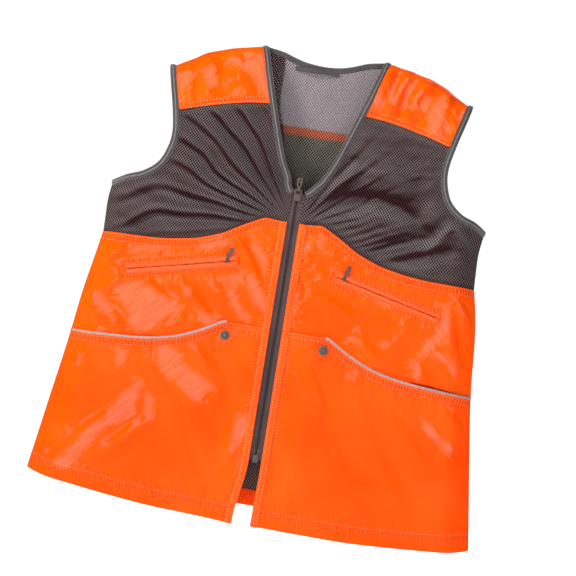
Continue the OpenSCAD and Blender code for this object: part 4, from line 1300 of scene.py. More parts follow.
def lower_relief(side, x, z, X, Z):
    right = side < 0
    angle = -50 if right else -58
    mouth, hem = below_mouth(x, z), z - z_on(HEM_LINE, x)
    h = ridges("pocket", side, X, Z) + slopes("pocket", side, X, Z) * 0.6
    h += 2.0 * folds(X, Z, angle, along=90, across=34, seed=2 if right else 6)
    h += 0.32 * folds(X, Z, angle + 35, along=36, across=17, seed=7)
    # calm at the mouth, the hem and the main zip
    h *= 0.30 + 0.70 * rise(mouth, 0, 22)
    h *= 0.30 + 0.70 * rise(hem, 22, 20)
    h *= 0.25 + 0.75 * rise(x, 18, 12)
    on_pocket = rise(x, 66, 10)
    h += gathers(x, mouth, start=12.0, reach=30.0, height=1.35, seed=3 if right else 7) * on_pocket
    h += gathers(x, hem, start=25.0, reach=14.0, height=0.9, seed=0 if right else 5)
    # the turned mouth: a groove under a swell
    h -= 1.1 * bell(mouth, 12.5, 1.7) * on_pocket
    h += 0.8 * bell(mouth, 6.5, 4.0) * on_pocket
    # the turned hem
    h += ribs(x, 26 - hem, 1.0, 20.0, pitch=9.0, height=0.55, seed=3, fade=8.0)
    h -= 1.3 * bell(hem, 25.0, 1.8)
    h += ribs(x, hem - 26, 0.5, 6.0, pitch=8.0, height=0.5, seed=5, fade=8.0)
    h -= 1.2 * bell(hem, 0, 1.2)
    # the mouth stands open, the left one further
    height, centre, width = (2.6, 210, 60) if right else (6.5, 226, 44)
    h += height * bell(x, centre, width) * np.exp(-np.maximum(mouth, 0) / 24)
    h -= 0.9 * bell(np.hypot(x - 74, z + 227), 0, 9)      # dip below the mouth's inner end
    h *= 0.2 + 0.8 * rise(half_width(z) - x, 1, 24)
    # two grooves at the top of the inner panel
    h -= fall(x, 62, 10) * 0.8 * (bell(z, -208.5, 1.3) + bell(z, -213.5, 1.3))
    return h


# ------------------------------------------------------------------ front pieces
def seam_row(side, line, dz, start, end, count=140):
    """A stitch row that follows a line of the pattern, dz above it."""
    x = np.linspace(start, end, count)
    return laid(side, x, z_on(line, x) + dz)


def make_chest_mesh(side):
    hand = HAND[side]
    inner = np.vstack([[(9.2, -53), (9.2, -30), (9.6, -10)], LAPEL[LAPEL[:, 1] < 124][2::6],
                       [(66.5, 131)]])
    outer = np.vstack([[(SEAM_X - 1, -108), (SEAM_X - 1, SEAM_Z), (ARMPIT_X - 2, -60),
                        (ARMPIT_X - 2, -27)], ARMHOLE[ARMHOLE[:, 1] < 98][3::6], [(207.5, 103)]])
    top = [(66.5, 131), (110, 127), (155, 117), (207.5, 103)]
    bottom = [(9.2, -53)] + [(x, z - 6) for x, z in CHEST_SEAM[1:-1]] + [(SEAM_X - 1, -108)]
    sheet = Sheet(side, bottom, top, inner, outer, 170, 130)
    x, z = sheet.x, sheet.z
    sheet.h = chest_relief(side, x, z, sheet.X, sheet.Z)
    # painted light: threads are drawn lighter where the cloth faces up and a little to the left or
    # right
    e = 1.2
    slope_x = (chest_relief(side, x + e, z, *lay(side, x + e, z)) - sheet.h) / e * side
    slope_z = (chest_relief(side, x, z + e, *lay(side, x, z + e)) - sheet.h) / e
    facing = -(slope_x * -0.25 * side + slope_z * 0.96)
    contrast = 0.46 if side < 0 else 0.80
    sheet.weights["gx"] = np.clip(0.48 + contrast * facing, 0, 1)
    piece = sheet.build("mesh_chest_" + hand, CHEST_MESH, 0.55)
    attach(piece, "mesh_dark", edge_swing(side), "chest_mesh_" + hand, "lapel_mesh_" + hand)


def make_shell(side):
    """Orange shell from the chest seam to the hem, with a slot for the chest zip."""
    hand = HAND[side]
    inner = [(9.5, -502), (9.5, -400), (9.5, -200), (9, -47)]
    sheet = Sheet(side, HEM, CHEST_SEAM, inner, SIDE_LINE, 216, 176, lift=0.6,
                  row_map=((0, 0), (0.52, 0.17), (0.90, 0.76), (1, 1)))
    x, z, X, Z = sheet.x, sheet.z, sheet.X, sheet.Z
    sheet.h = shell_relief(side, x, z, X, Z)
    along, across = chest_zip_place(side, X, Z)
    frame_band = band(frame_distance(along, across), 1, 1.5, 4, 5) * (np.abs(along) < 88)
    sheet.weights = {
        "gx": np.maximum(band(below_seam(x, z), 1.5, 2, 11.0, 4), frame_band),
        "gz": band(x, 18, 3, 23, 5) * rise(-z, 60, 20) * (1.0 if side > 0 else 0.6),
        "gl": gloss("shell", side, X, Z)}
    piece = sheet.build("shell_front_" + hand, SHELL, 0.7,
                        hole=(np.abs(along) < 78) & (np.abs(across) < 2.6))
    tree = tree_of(piece)
    attach(piece, "shell_orange", edge_swing(side), "front_panel_" + hand,
           "front_edge_panel_" + hand)
    return tree


def split_line(line):
    """The parts of a line inside and outside SPLIT_X, thinned out."""
    split = (SPLIT_X, z_on(line, SPLIT_X))
    inner = np.vstack([line[line[:, 0] <= SPLIT_X], split])[::8]
    outer = line[line[:, 0] > SPLIT_X][4::8]
    return np.vstack([inner, split]), np.vstack([split, outer, line[-1]])


POCKET_TOP_IN, POCKET_TOP_OUT = split_line(POCKET_TOP_LINE)
POCKET_HEM_IN, POCKET_HEM_OUT = split_line(curve(HEM_OUTER))


def make_lower_front(side):
    """The lower overlay beside the zip and the pocket: one surface in three pieces."""
    hand = HAND[side]
    seam = [(60, -501), (60, -207)]
    split = [POCKET_HEM_OUT[0], POCKET_TOP_OUT[0]]
    inner_swing = swing(side, "lower_pocket", POCKET_INNER_BEND)
    outer_swing = swing(side, "lower_pocket", POCKET_OUTER_BEND)
    # name, material, motion, CAD pieces it replaces, four edges, columns
    table = (
        ("shell_lower_", SHELL, edge_swing(side), ("lower_edge_panel_",),
         (HEM_INNER, [(9.5, -207), (60, -207)], [(9.5, -502), (9.5, -207)], seam), 36),
        ("pocket_inner_", POCKET, inner_swing, ("pocket_panel_", "front_hem_"),
         (POCKET_HEM_IN, POCKET_TOP_IN, seam, split), 84),
        ("pocket_outer_", POCKET, outer_swing, (),
         (POCKET_HEM_OUT, POCKET_TOP_OUT, split, SIDE_LINE[:3]), 100))
    pieces = []
    for name, material, _, _, edges, columns in table:
        sheet = Sheet(side, *edges, columns, 150, lift=POCKET_LIFT + 0.6,
                      row_map=((0, 0), (0.10, 0.14), (0.90, 0.80), (1, 1)))
        x, z, X, Z = sheet.x, sheet.z, sheet.X, sheet.Z
        sheet.h = lower_relief(side, x, z, X, Z)
        if name == "pocket_outer_":      # flat towards the side seam
            sheet.h *= 1 - rise(sheet.S, 0.9, 0.1) * 0.85
        mouth_band = band(below_mouth(x, z), 2, 2, 12.5, 4) * (0.4 + 0.6 * rise(x, 62, 8))
        hem_band = 0.7 * band(z - z_on(HEM_LINE, x), 12, 6, 25, 5)
        sheet.weights = {"gx": np.maximum(mouth_band, hem_band),
                         "gz": 0.5 * band(x, 18, 3, 23, 5),
                         "gl": gloss("pocket", side, X, Z)}
        pieces.append(sheet.build(name + hand, material, 0.75))
    tree = tree_of(*pieces)
    for piece, (_, _, motion, cad, _, _) in zip(pieces, table):
        attach(piece, "shell_orange", motion, *(c + hand for c in cad))
    return tree


def make_pocket_piping(side):
    hand = HAND[side]
    inner = [(74.5, -207.2), (79, -207.8)] + [tuple(p) for p in POCKET_TOP_IN if p[0] > 83]
    for part, points, bend, cad in (
            ("inner", inner, POCKET_INNER_BEND, ("pocket_piping_" + hand,)),
            ("outer", POCKET_TOP_OUT, POCKET_OUTER_BEND, ())):
        share = np.linspace(0, 1, 90)
        x, z = point_at(curve(points), share).T
        X, Z = lay(side, x, z)
        height = lower_relief(side, x, z - 0.6, X, Z - 0.6)
        if part == "outer":
            height = height * (1 - rise(share, 0.9, 0.1) * 0.85)
        path, normals = front_surface(side, x, z, POCKET_LIFT + 0.5, height)
        swell = 0.25 * noise(3, np.arange(90) / 2.2, 3.0 + side)
        profile = round_profile(3.9, 2.6, 14)[None] * (1 + swell[:, None, None] * 0.25)
        piece = tube("piping_pocket_%s_%s" % (part, hand), path, normals, profile, POCKET_PIPING)
        attach(piece, "piping_reflective", swing(side, "lower_pocket", bend), *cad)


def make_placket(side):
    """The folded edge that stands beside the main zip."""
    hand = HAND[side]
    sheet = Sheet(side, [(9.6, -502), (20.6, -501.8)], [(9.4, -46), (20.6, -47)],
                  [(9.6, -502), (9.4, -404), (9.4, -300), (9.4, -46)],
                  [(20.6, -501.8), (20.6, -47)], 16, 330, lift=1.5)
    share, z = sheet.S, sheet.z
    across = share * PLACKET_WIDTH
    # a rounded fold with two stitched grooves, lifted onto the lower overlay
    h = 1.5 * np.sqrt(np.maximum(0, 1 - np.abs(2 * share - 1) ** 3))
    h -= 0.7 * bell(across, 0.2 * PLACKET_WIDTH, 1.0) + 0.5 * bell(across, 0.84 * PLACKET_WIDTH, 1.0)
    h += 2.3 * rise(-z, 207, 8)
    h += ribs(z, across, 1.5, 9.0, pitch=7.2, height=0.34, seed=2 if side < 0 else 5)
    h += 0.5 * noise(6, z / 26 + side, share * 1.1) * ease(share * 3)
    sheet.h = h
    sheet.weights["gz"] = 0.55 * np.sin(math.pi * share)
    piece = sheet.build("placket_fold_" + hand, PLACKET, 1.0)
    tree = tree_of(piece)
    attach(piece, "shell_orange", "front_edge_" + hand, "placket_" + hand)
    rows = [laid(side, x, np.linspace(-500, -50, 120)) for x in (11.9, 18.8)]
    sew("stitches_placket_" + hand, rows, tree, "front_edge_" + hand, pitch=3.3)


def sew_front(side, shell_tree, lower_tree):
    """Stitch rows on the shell, the lower overlay and the pocket."""
    hand = HAND[side]
    # a rectangle round the chest zip: half-length, half-height
    a, b = 85, 8.6
    along = np.concatenate([np.linspace(-a, a, 60), np.full(12, a), np.linspace(a, -a, 60),
                            np.full(12, -a)])
    across = np.concatenate([np.full(60, b), np.linspace(b, -b, 12), np.full(60, -b),
                             np.linspace(-b, b, 12)])
    rows = [seam_row(side, SEAM_LINE, -11.5, 22, SEAM_X + 4),
            seam_row(side, SEAM_LINE, -2.2, 22, SEAM_X - 1),
            chest_zip_point(side, along, across, 0)[:, [0, 2]]]
    sew("stitches_shell_" + hand, rows, shell_tree, edge_swing(side))
    rows = [seam_row(side, HEM_LINE, 25.0, 22, 60)]
    rows += [laid(side, np.linspace(21, 60, 20), z) for z in (-208.5, -213.5)]
    sew("stitches_lower_" + hand, rows, lower_tree, edge_swing(side))
    rows = [seam_row(side, HEM_LINE, 25.0, 60, SPLIT_X),
            seam_row(side, POCKET_TOP_LINE, -12.5, 78, SPLIT_X),
            seam_row(side, POCKET_TOP_LINE, -4.2, 74, SPLIT_X),
            laid(side, np.linspace(60, 72, 6), np.linspace(-208.5, -209.5, 6)),
            laid(side, np.linspace(60, 76, 6), np.linspace(-213.5, -216.5, 6))]
    sew("stitches_pocket_inner_" + hand, rows, lower_tree,
        swing(side, "lower_pocket", POCKET_INNER_BEND))
    rows = [seam_row(side, HEM_LINE, 25.0, SPLIT_X, HEM_X - 5),
            seam_row(side, POCKET_TOP_LINE, -12.5, SPLIT_X, 303),
            seam_row(side, POCKET_TOP_LINE, -4.2, SPLIT_X, 302)]
    sew("stitches_pocket_outer_" + hand, rows, lower_tree,
        swing(side, "lower_pocket", POCKET_OUTER_BEND))


def twin_rows(path, normals, spread):
    """Two X, Z rows on either side of a path."""
    aside = np.cross(unit(np.gradient(path, axis=0)), normals)
    return [(path + aside * k * spread)[:, [0, 2]] for k in (-1, 1)]


def make_neck_binding(side):
    """Neck and lapel binding with a reflective cord in the middle."""
    hand = HAND[side]
    path, normals = front_surface(side, *LAPEL.T, 0.3)
    normals[:, 1] -= 0.3
    piece = tube("binding_neck_" + hand, path, normals, round_profile(10.6, 3.6, 16), BINDING)
    tree = tree_of(piece)
    attach(piece, "binding_grey", edge_swing(side), "neck_binding_" + hand,
           "lapel_binding_" + hand)
    piece = tube("piping_neck_" + hand, path + normals * 1.9, normals,
                 round_profile(2.5, 1.7, 10), PIPING)
    attach(piece, "piping_reflective", edge_swing(side))
    sew("stitches_neck_" + hand, twin_rows(path, normals, 3.4), tree, edge_swing(side),
        **BINDING_STITCH)


def make_armhole_binding(side):
    """Binding up the front of the armhole, over the shoulder and down the back."""
    hand = HAND[side]
    front, front_normals = front_surface(side, *ARMHOLE.T, 0.2)
    front_normals[:, 1] -= 0.3
    top_x, _, top_z = front[-1]
    top_x += side * 0.5
    over = [(top_x, 0.6, top_z + 1.6), (top_x, 2.6, top_z + 1.8)]
    X, Z = lay(side, ARMHOLE[::-1, 0] + 0.6, ARMHOLE[::-1, 1])
    back = stack(X, 4.1, Z)[2:]
    path = np.vstack([front[:-1], over, back])
    normals = np.vstack([front_normals[:-1], [(0, -0.4, 1.0), (0, 0.5, 1.0)],
                         np.tile([0.0, 1.0, 0.0], (len(back), 1))])
    piece = tube("binding_armhole_" + hand, path, normals, round_profile(10.4, 3.4, 16), BINDING)
    attach(piece, "binding_grey", "vest", "armhole_binding_" + hand)
    if side > 0:
        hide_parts("armhole_piping")
    tree = tree_of(piece)
    normals = normals / np.linalg.norm(normals, axis=1, keepdims=True)
    piece = tube("piping_armhole_" + hand, (path + normals * 1.75)[:len(front)],
                 normals[:len(front)], round_profile(2.4, 1.6, 10), PIPING)
    attach(piece, "piping_reflective", "vest")
    rows = [row[3:-2] for row in twin_rows(front, front_normals, 3.2)]
    sew("stitches_armhole_" + hand, rows, tree, "vest", **BINDING_STITCH)


SHOULDER_DROP = 62         # the shoulder panel reaches this far down the back


def make_shoulder(side):
    """Shoulder panel: up the front, over the shoulder and down the back."""
    hand, right = HAND[side], side < 0
    bottom_in, bottom_out, top_in, top_out = (68.5, 126.5), (207, 97), (93.5, 212), (227, 163)
    inner = np.vstack([bottom_in, LAPEL[LAPEL[:, 1] > 120][3::5][:-1], top_in])
    outer = np.vstack([bottom_out, ARMHOLE[ARMHOLE[:, 1] > 96][2::4][:-1], top_out])
    sheet = Sheet(side, [bottom_in] + YOKE[1:-1] + [bottom_out],
                  [top_in] + SHOULDER_TOP[1:-1] + [top_out], inner, outer, 100, 64, lift=0.9)
    X, Z = sheet.X, sheet.Z
    above = sheet.z - z_on(YOKE_LINE, sheet.x)
    h = ridges("shoulder", side, X, Z) + (1.2 if right else 0.8) * folds(
        X, Z, 82 if right else 70, along=50, across=20, seed=3)
    h += 0.2 * folds(X, Z, 60, along=18, across=10, seed=5)
    # broad creases that run down from the shoulder
    height, tilt, shift, pitch, seed = (1.6, 0.36, 92, 44.0, 3) if right else (
        3.4, -0.42, -96, 37.0, 2)
    h += (height * np.cos((X + tilt * (Z - 100) + shift) / pitch * TAU
                          + 1.2 * noise(seed, X / 50.0, Z / 40.0))
          * band(sheet.x, 78, 16, 190, 16))
    # calm at the yoke, the top and both bindings
    h *= 0.15 + 0.85 * rise(above, 0, 18)
    h *= 1 - 0.8 * rise(sheet.V, 0.86, 0.14)
    h *= ease(np.minimum(sheet.S, 1 - sheet.S) / 0.06)
    # the stitched band along the yoke
    h += ribs(sheet.x, above, 0.5, 7.5, pitch=4.4, height=0.42, seed=6)
    h -= 0.9 * bell(above, 8.2, 1.4) + 0.7 * bell(above, 2.2, 1.2) + 0.6 * bell(above, 0, 1.0)
    sheet.h = h

    front = sheet.points()
    top_x, top_y, top_z = front[:, -1].T
    over = [stack(top_x, y, top_z + dz)
            for y, dz in ((top_y.mean() + 0.8, 1.3), (1.9, 2.2), (3.2, 1.7), (4.4, 0.3))]
    share = (top_x - top_x[0]) / (top_x[-1] - top_x[0])
    down = []
    for t in np.linspace(0.06, 1, 34):
        # follow the armhole on the outer side and drift inwards at the neck
        arm_shift = x_on(ARMHOLE, top_z[-1] - SHOULDER_DROP * t) - x_on(ARMHOLE, top_z[-1])
        dx = share * (arm_shift - 1.5) - 3 * t * (1 - share)
        puff = ((0.9 * noise(4, top_x / 26.0, t * 1.6) + 0.5)
                * math.sin(math.pi * min(1, t * 1.02)) ** 0.7)
        gather = 0.35 * np.cos(top_x / 4.5 * TAU) * math.exp(-((t - 0.93) / 0.05) ** 2)
        down.append(stack(top_x + side * dx, 4.6 + (puff + gather), top_z - SHOULDER_DROP * t))
    points = np.concatenate([front, np.stack(over + down, 1)], 1)
    columns, rows = points.shape[:2]
    steps = np.linalg.norm(np.diff(points, axis=1), axis=2)
    covered = np.concatenate([np.zeros((columns, 1)), np.cumsum(steps, 1)], 1)
    piece = mesh_object("shoulder_cloth_" + hand, points, grid_faces(columns, rows, right),
                        SHOULDER, stack(sheet.x[:, :1], covered))
    on_front_only = ((0, 0), (0, rows - sheet.x.shape[1]))
    store(piece, "gx", np.pad(band(above, 1.5, 1.5, 8, 3), on_front_only))
    store(piece, "gl", np.pad(gloss("shoulder", side, X, Z), on_front_only))
    sharpen_rim(piece)
    solidify(piece, 0.8, -1.0)
    tree = tree_of(piece)
    attach(piece, "shell_orange", "vest", "shoulder_panel_" + hand)
    stitch_rows = [seam_row(side, YOKE_LINE, dz, 76, 202, 60) for dz in (2.2, 8.2)]
    sew("stitches_shoulder_" + hand, stitch_rows, tree, "vest")
    stitch_rows = [stack(down[-3][4:-4, 0], top_z[4:-4] - 58)]
    sew("stitches_shoulder_back_" + hand, stitch_rows, tree, "vest", front=False)


def make_side_seam(side):
    hand = HAND[side]
    z = np.linspace(-480, -104, 120)
    X, Z = lay(side, x_on(SIDE_LINE, z) - 0.6, z)
    path = stack(X, 1.6 + 0.5 * noise(1, z / 14, side), Z)
    piece = tube("side_seam_" + hand, path, TO_FRONT, round_profile(3.0, 5.2, 12), SHELL)
    attach(piece, "shell_orange", "vest")
    z = np.linspace(-106, -26, 40)
    X, Z = lay(side, np.interp(z, [-106, ARMPIT_Z], [SEAM_X - 0.8, ARMPIT_X - 1.4]), z)
    piece = tube("side_seam_mesh_" + hand, stack(X, 1.6, Z), TO_FRONT,
                 round_profile(2.8, 4.6, 12), BINDING)
    attach(piece, "binding_grey", "vest")


def make_chest_pocket(side):
    """Chest pocket: the bag behind the shell, the cloth lips of the zip and a raised rim."""
    hand = HAND[side]
    u, v = np.meshgrid(np.linspace(-1, 1, 60), np.linspace(-1, 1, 50), indexing="ij")
    X, Z = side * (CHEST_ZIP_X + u * 81), -192 + v * 62
    flat_rim = 1 - np.maximum(np.abs(u), np.abs(v)) ** 4
    Y = FRONT_PLANE + 6.6 + 1.4 * folds(X, Z, 20, along=60, across=22, seed=3) * flat_rim
    piece = mesh_object("pocket_bag_" + hand, stack(X, Y, Z), grid_faces(60, 50, side < 0),
                        BAG_CLOTH, stack(X, Z))
    solidify(piece, 0.6, 0)
    attach(piece, "pocket_cloth", "vest", "chest_pocket_bag_" + hand)

    lips = []
    for k in (-1, 1):
        along, t = np.meshgrid(np.linspace(-83, 83, 220), np.linspace(0, 1, 12), indexing="ij")
        across = k * (0.75 + 5.9 * t) + k * 0.25 * noise(2, along / 9 + k, 0.0) * (1 - t)
        gather = 0.62 if side > 0 else 0.34
        height = 1.15 * np.sqrt(np.maximum(0, 1 - np.abs(2 * t - 1) ** 2.6))
        height += (gather * np.cos(along / 7.4 * TAU + 3 * noise(5, along / 16, k))
                   * np.sin(math.pi * t) * (0.6 + 0.5 * noise(1, along / 20, k)))
        points = chest_zip_point(side, along, across, FRONT_PLANE - 0.9 - height)
        lips.append(mesh_object("zip_lip", points, grid_faces(220, 12, k * side > 0), CHEST_TAPE,
                                stack(along, across)))
    piece = join(lips, "chest_zip_cloth_" + hand)
    solidify(piece, 0.7, 0)
    tree = tree_of(piece)
    attach(piece, "zip_tape_orange", "vest", "chest_zip_tape_" + hand)
    rows = [chest_zip_point(side, np.linspace(-81, 81, 60), w, 0)[:, [0, 2]] for w in (5.2, -5.2)]
    sew("stitches_chest_zip_" + hand, rows, tree, "vest", slot="zip_tape_orange", pitch=2.8,
        height=0.3, lift=0.0)

    def squared(value, power):
        return np.sign(value) * np.abs(value) ** (1 / power)
    angles = np.linspace(0, TAU, 200, endpoint=False)
    along, across = 84.6 * squared(np.cos(angles), 14), 6.9 * squared(np.sin(angles), 3.0)
    path = chest_zip_point(side, np.append(along, along[0]), np.append(across, across[0]),
                           FRONT_PLANE - 1.0)
    piece = tube("chest_zip_rim_" + hand, path, TO_FRONT, round_profile(2.6, 1.9, 10), SHELL,
                 cap=False)
    attach(piece, "shell_orange", "vest")


for side in (1, -1):
    make_chest_mesh(side)
    shell_tree = make_shell(side)
    lower_tree = make_lower_front(side)
    make_pocket_piping(side)
    make_placket(side)
    sew_front(side, shell_tree, lower_tree)
    make_neck_binding(side)
    make_armhole_binding(side)
    make_shoulder(side)
    make_side_seam(side)
    make_chest_pocket(side)


# ------------------------------------------------------------------ zips
def coil(name, ends, outward, material, pitch, overlap, thickness, height, root, phase):
    """Coil elements between two ends; each reaches from its root just past the centre line."""
    start, end = np.asarray(ends, float)
    total = np.linalg.norm(end - start)
    along = (end - start) / total
    front = np.array(TO_FRONT)
    element = ring_faces(5, 8)
    points, faces = [], []
    for distance in np.arange(phase * pitch, total, pitch):
        faces.append(element + len(points))
        for i, r in enumerate((1.0, 1.15, 1.0, 1.0, 0.55)):
            centre = start + along * distance + outward * (root - i / 4 * (root + overlap))
            for a in (TAU * j / 8 for j in range(8)):
                points.append(centre + along * math.cos(a) * thickness / 2 * r
                              + front * (math.sin(a) * height / 2 * r))
    return mesh_object(name, np.array(points), np.vstack(faces), material)


def make_main_zip(side):
    hand = HAND[side]
    t, z = np.meshgrid(np.linspace(0, 1, 12), np.linspace(-404, -1.5, 260), indexing="ij")
    x = 1.0 + 13.0 * t
    # slightly uneven, with a groove beside the coil and a rippled outer edge
    Y = (ZIP_PLANE + 0.1 * noise(0, z / 18, t * 2 + side) - 0.5 * bell(x, 3.4, 0.9)
         + 0.12 * np.cos(z / 5 * TAU) * ease((t - 0.5) * 2))
    piece = mesh_object("zip_tape_cloth_" + hand, stack(side * x, Y, z),
                        grid_faces(12, 260, side < 0), ZIP_TAPE, stack(x, z))
    solidify(piece, 0.7, 0)
    tree = tree_of(piece)
    attach(piece, "zip_tape_dark", "front_edge_" + hand, "zip_tape_" + hand)
    rows = [stack(side * x, np.linspace(-400, -6, 60)) for x in (4.6, 8.0)]
    sew("stitches_zip_tape_" + hand, rows, tree, "front_edge_" + hand, slot="zip_tape_dark",
        material=DARK_THREAD, pitch=2.4, length=1.9, width=0.42, height=0.35)
    y = ZIP_PLANE - 0.9
    piece = coil("zip_coil_" + hand, [(0, y, -386.5), (0, y, -12.5)], np.array([side, 0, 0.0]),
                 ZIP_COIL, pitch=1.9, overlap=0.35, thickness=0.86, height=1.1, root=2.7,
                 phase=0.5 if side > 0 else 0.0)
    attach(piece, "zip_teeth", "front_edge_" + hand, "zip_teeth_" + hand)


def make_chest_coil(side):
    hand = HAND[side]
    upward = chest_zip_point(side, 0.0, 1.0, 0) - chest_zip_point(side, 0.0, 0.0, 0)
    ends = chest_zip_point(side, np.array([-79.0, 79.0]), 0.0, FRONT_PLANE + 1.4)
    halves = [coil("cz", ends, upward * k, CHEST_COIL, pitch=1.7, overlap=0.3, thickness=0.8,
                   height=0.9, root=2.3, phase=0.5 if k > 0 else 0.0) for k in (-1, 1)]
    piece = join(halves, "chest_zip_coil_" + hand)
    attach(piece, "zip_teeth_orange", "vest", "chest_zip_teeth_" + hand)


for side in (1, -1):
    make_main_zip(side)
    make_chest_coil(side)


# ------------------------------------------------------------------ back
def back_sheet(name, bottom, top, columns, rows, y, relief, material, thickness, outer=None):
    """A sheet over both halves of the back; without outer, its ends are straight."""
    outer = outer or [bottom[-1], top[-1]]
    half = Sheet(1, bottom, top, [bottom[0], top[0]], outer, columns, rows)
    x = np.concatenate([-half.x[:0:-1], half.x])
    z = np.concatenate([half.z[:0:-1], half.z])
    X, Z = lay_back(x, z)
    Y = y + relief(x, z)
    piece = mesh_object(name, stack(X, Y, Z), grid_faces(*x.shape, flip=True), material,
                        stack(x, z))
    # painted light: threads that face up and to one side are drawn lighter
    slope_x = np.gradient(Y, axis=0) / (np.gradient(X, axis=0) + 1e-9)
    slope_z = np.gradient(Y, axis=1) / (np.gradient(Z, axis=1) + 1e-9)
    painted_light = 0.62 - (1.1 if y > 3 else -1.1) * (0.5 * slope_x + 0.86 * slope_z)
    painted_light += 0.06 * folds(x, z, 62, along=70, across=22, seed=6)
    store(piece, "gx", np.clip(painted_light, 0, 1))
    # painted shadow: the lining lies in the shade of the neck edge on the right
    shade_width = 3.0 + 20.0 * rise(z, 118, 95)
    neck_edge = -(53.5 + (z - 100) * 0.315)
    store(piece, "gz", fall(x - neck_edge, shade_width, 4.5) * rise(z, 60, 40))
    solidify(piece, thickness, 0)
    return piece


def back_relief(x, z):
    aside = np.abs(x)
    edge = np.minimum(half_width(z) - 2 - aside,
                      np.where(z > -30, path_distance(BACK_EDGE, aside, z), 99))
    h = 2.2 * folds(x, z, 78, along=120, across=34, seed=2)
    h += 0.8 * folds(x, z, 40, along=40, across=18, seed=5)
    h += 3.0 * bell(z, -150, 190)
    # calm at the edges, the hem and the band, and almost flat above the band
    h *= rise(edge, 0, 26)
    h *= 0.15 + 0.85 * rise(z, -476, 50)
    h *= 0.2 + 0.8 * rise(np.abs(z - 94), 0, 26)
    h *= 1 - 0.92 * rise(z, 100, 40)
    return np.maximum(h, -0.6)


def outer_relief(x, z):
    loose = folds(x, z, 70, along=50, across=20, seed=4) * rise(z, -460, 30) * rise(-z, -88, 20)
    return back_relief(x, z) + 0.45 + 0.5 * loose


def band_relief(x, z):
    gather = 0.35 * np.cos(x / 4.4 * TAU) * bell(z, 94, 5)
    return back_relief(x, z) + gather + 0.5 * bell(z, 94, 4)


def make_back():
    piece = back_sheet("back_lining_cloth", BACK_BOTTOM, BACK_TOP, 130, 260, 2.4, back_relief,
                       LINING_MESH, 0.5, BACK_EDGE)
    attach(piece, "mesh_dark", "vest", "back_lining")
    edge = [p for p in BACK_EDGE if p[1] < 70] + [(204, 86)]
    piece = back_sheet("back_outer_cloth", BACK_BOTTOM, [(0, 90), (100, 89.5), (204, 86)], 150,
                       250, 3.5, outer_relief, BACK_MESH, 0.55, edge)
    attach(piece, "mesh_dark", "vest", "back_outer_mesh")
    piece = back_sheet("back_band_cloth", [(0, 87.5), (100, 87), (204, 84)],
                       [(0, 100.5), (100, 100), (205, 97)], 160, 14, 4.2, band_relief, BACK_BAND,
                       0.9)
    tree = tree_of(piece)
    attach(piece, "shell_orange", "vest", "back_band")
    x = np.linspace(-198, 198, 200)
    rows = [stack(*lay_back(x, z - np.abs(x) * 0.012)) for z in (90.0, 98.0)]
    sew("stitches_back_band", rows, tree, "vest", front=False)


def make_back_hem():
    """One turned strip round the bottom edge of the back: inside, outside and edge."""
    bottom = [(0, -476.5), (120, -476.5), (240, -475.5), (HEM_X - 1, -475)]
    top = [(0, -453), (120, -453), (240, -452), (HEM_X - 5, -451)]
    for name, y, out, cad in (("back_hem_inside", 1.7, -1, ("back_hem",)),
                              ("back_hem_outside", 4.3, 1, ())):
        def relief(x, z):
            gather = 0.3 * np.cos(x / 8.5 * TAU + 2 * noise(1, x / 20, 0.0)) * rise(z, -476, 6)
            return out * (gather + 0.3 * bell(z, -464, 8)) + back_relief(x, z)
        piece = back_sheet(name, bottom, top, 170, 16, y, relief, SHELL, 0.8)
        tree = tree_of(piece)
        attach(piece, "shell_orange", "vest", *cad)
        row = stack(*lay_back(np.linspace(-322, 322, 260), -456.0))
        sew("stitches_" + name, [row], tree, "vest", front=out < 0)
    x = np.linspace(-330, 330, 200)
    X, Z = lay_back(x, -476.6 + np.interp(np.abs(x), [0, 240, 330], [0, 1.0, 1.6]))
    piece = tube("back_hem_edge", stack(X, 3.0, Z), (0.0, 0.0, -1.0), round_profile(3.4, 1.4, 10),
                 SHELL)
    attach(piece, "shell_orange", "vest")


def make_back_neck():
    line = curve([(-x, z) for x, z in BACK_NECK[::-1]] + BACK_NECK[1:], 20)
    x, z = point_at(line, np.linspace(0, 1, 120)).T
    X, Z = lay_back(x, z - 3.2)
    piece = tube("binding_back_neck", stack(X, 2.3, Z), TO_FRONT, round_profile(8.6, 3.4, 14),
                 BINDING)
    tree = tree_of(piece)
    attach(piece, "binding_grey", "vest", "back_neck_binding")
    sew("stitches_back_neck", [stack(X, Z - 2.6), stack(X, Z + 2.6)], tree, "vest",
        **BINDING_STITCH)


def make_hanging_loop():
    low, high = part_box("hang_loop")
    centre = (low.x + high.x) / 2 / MM
    # (x, y): the tape stands out to the front in the middle
    x, y = curve([(-33, 0.2), (-24, -0.4), (-14, -3.0), (0, -3.3), (14, -3.0), (24, -0.4),
                  (33, 0.2)], 12).T
    path = stack(x + centre, y, LOOP_HEIGHT + 0.3 * np.sin(x / 9))
    piece = tube("hang_loop_tape", path, TO_FRONT, round_profile(7.6, 1.2, 14), BINDING)
    attach(piece, "binding_grey", "vest", "hang_loop")


make_back()
make_back_hem()
make_back_neck()
make_hanging_loop()


# ------------------------------------------------------------------ hardware: the CAD's pieces
def finish_metal(name, material, edge=0.16):
    """Gives a CAD piece a metal and rounded edges."""
    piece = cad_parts[name]
    piece.data.materials.clear()
    piece.data.materials.append(material)
    for polygon in piece.data.polygons:
        polygon.material_index = 0
    bevel = piece.modifiers.new("Bevel", "BEVEL")
    bevel.width = edge * MM
    bevel.segments = 2
    bevel.limit_method = "ANGLE"
    bevel.angle_limit = math.radians(40)
    piece.modifiers.new("Weighted", "WEIGHTED_NORMAL").keep_sharp = True


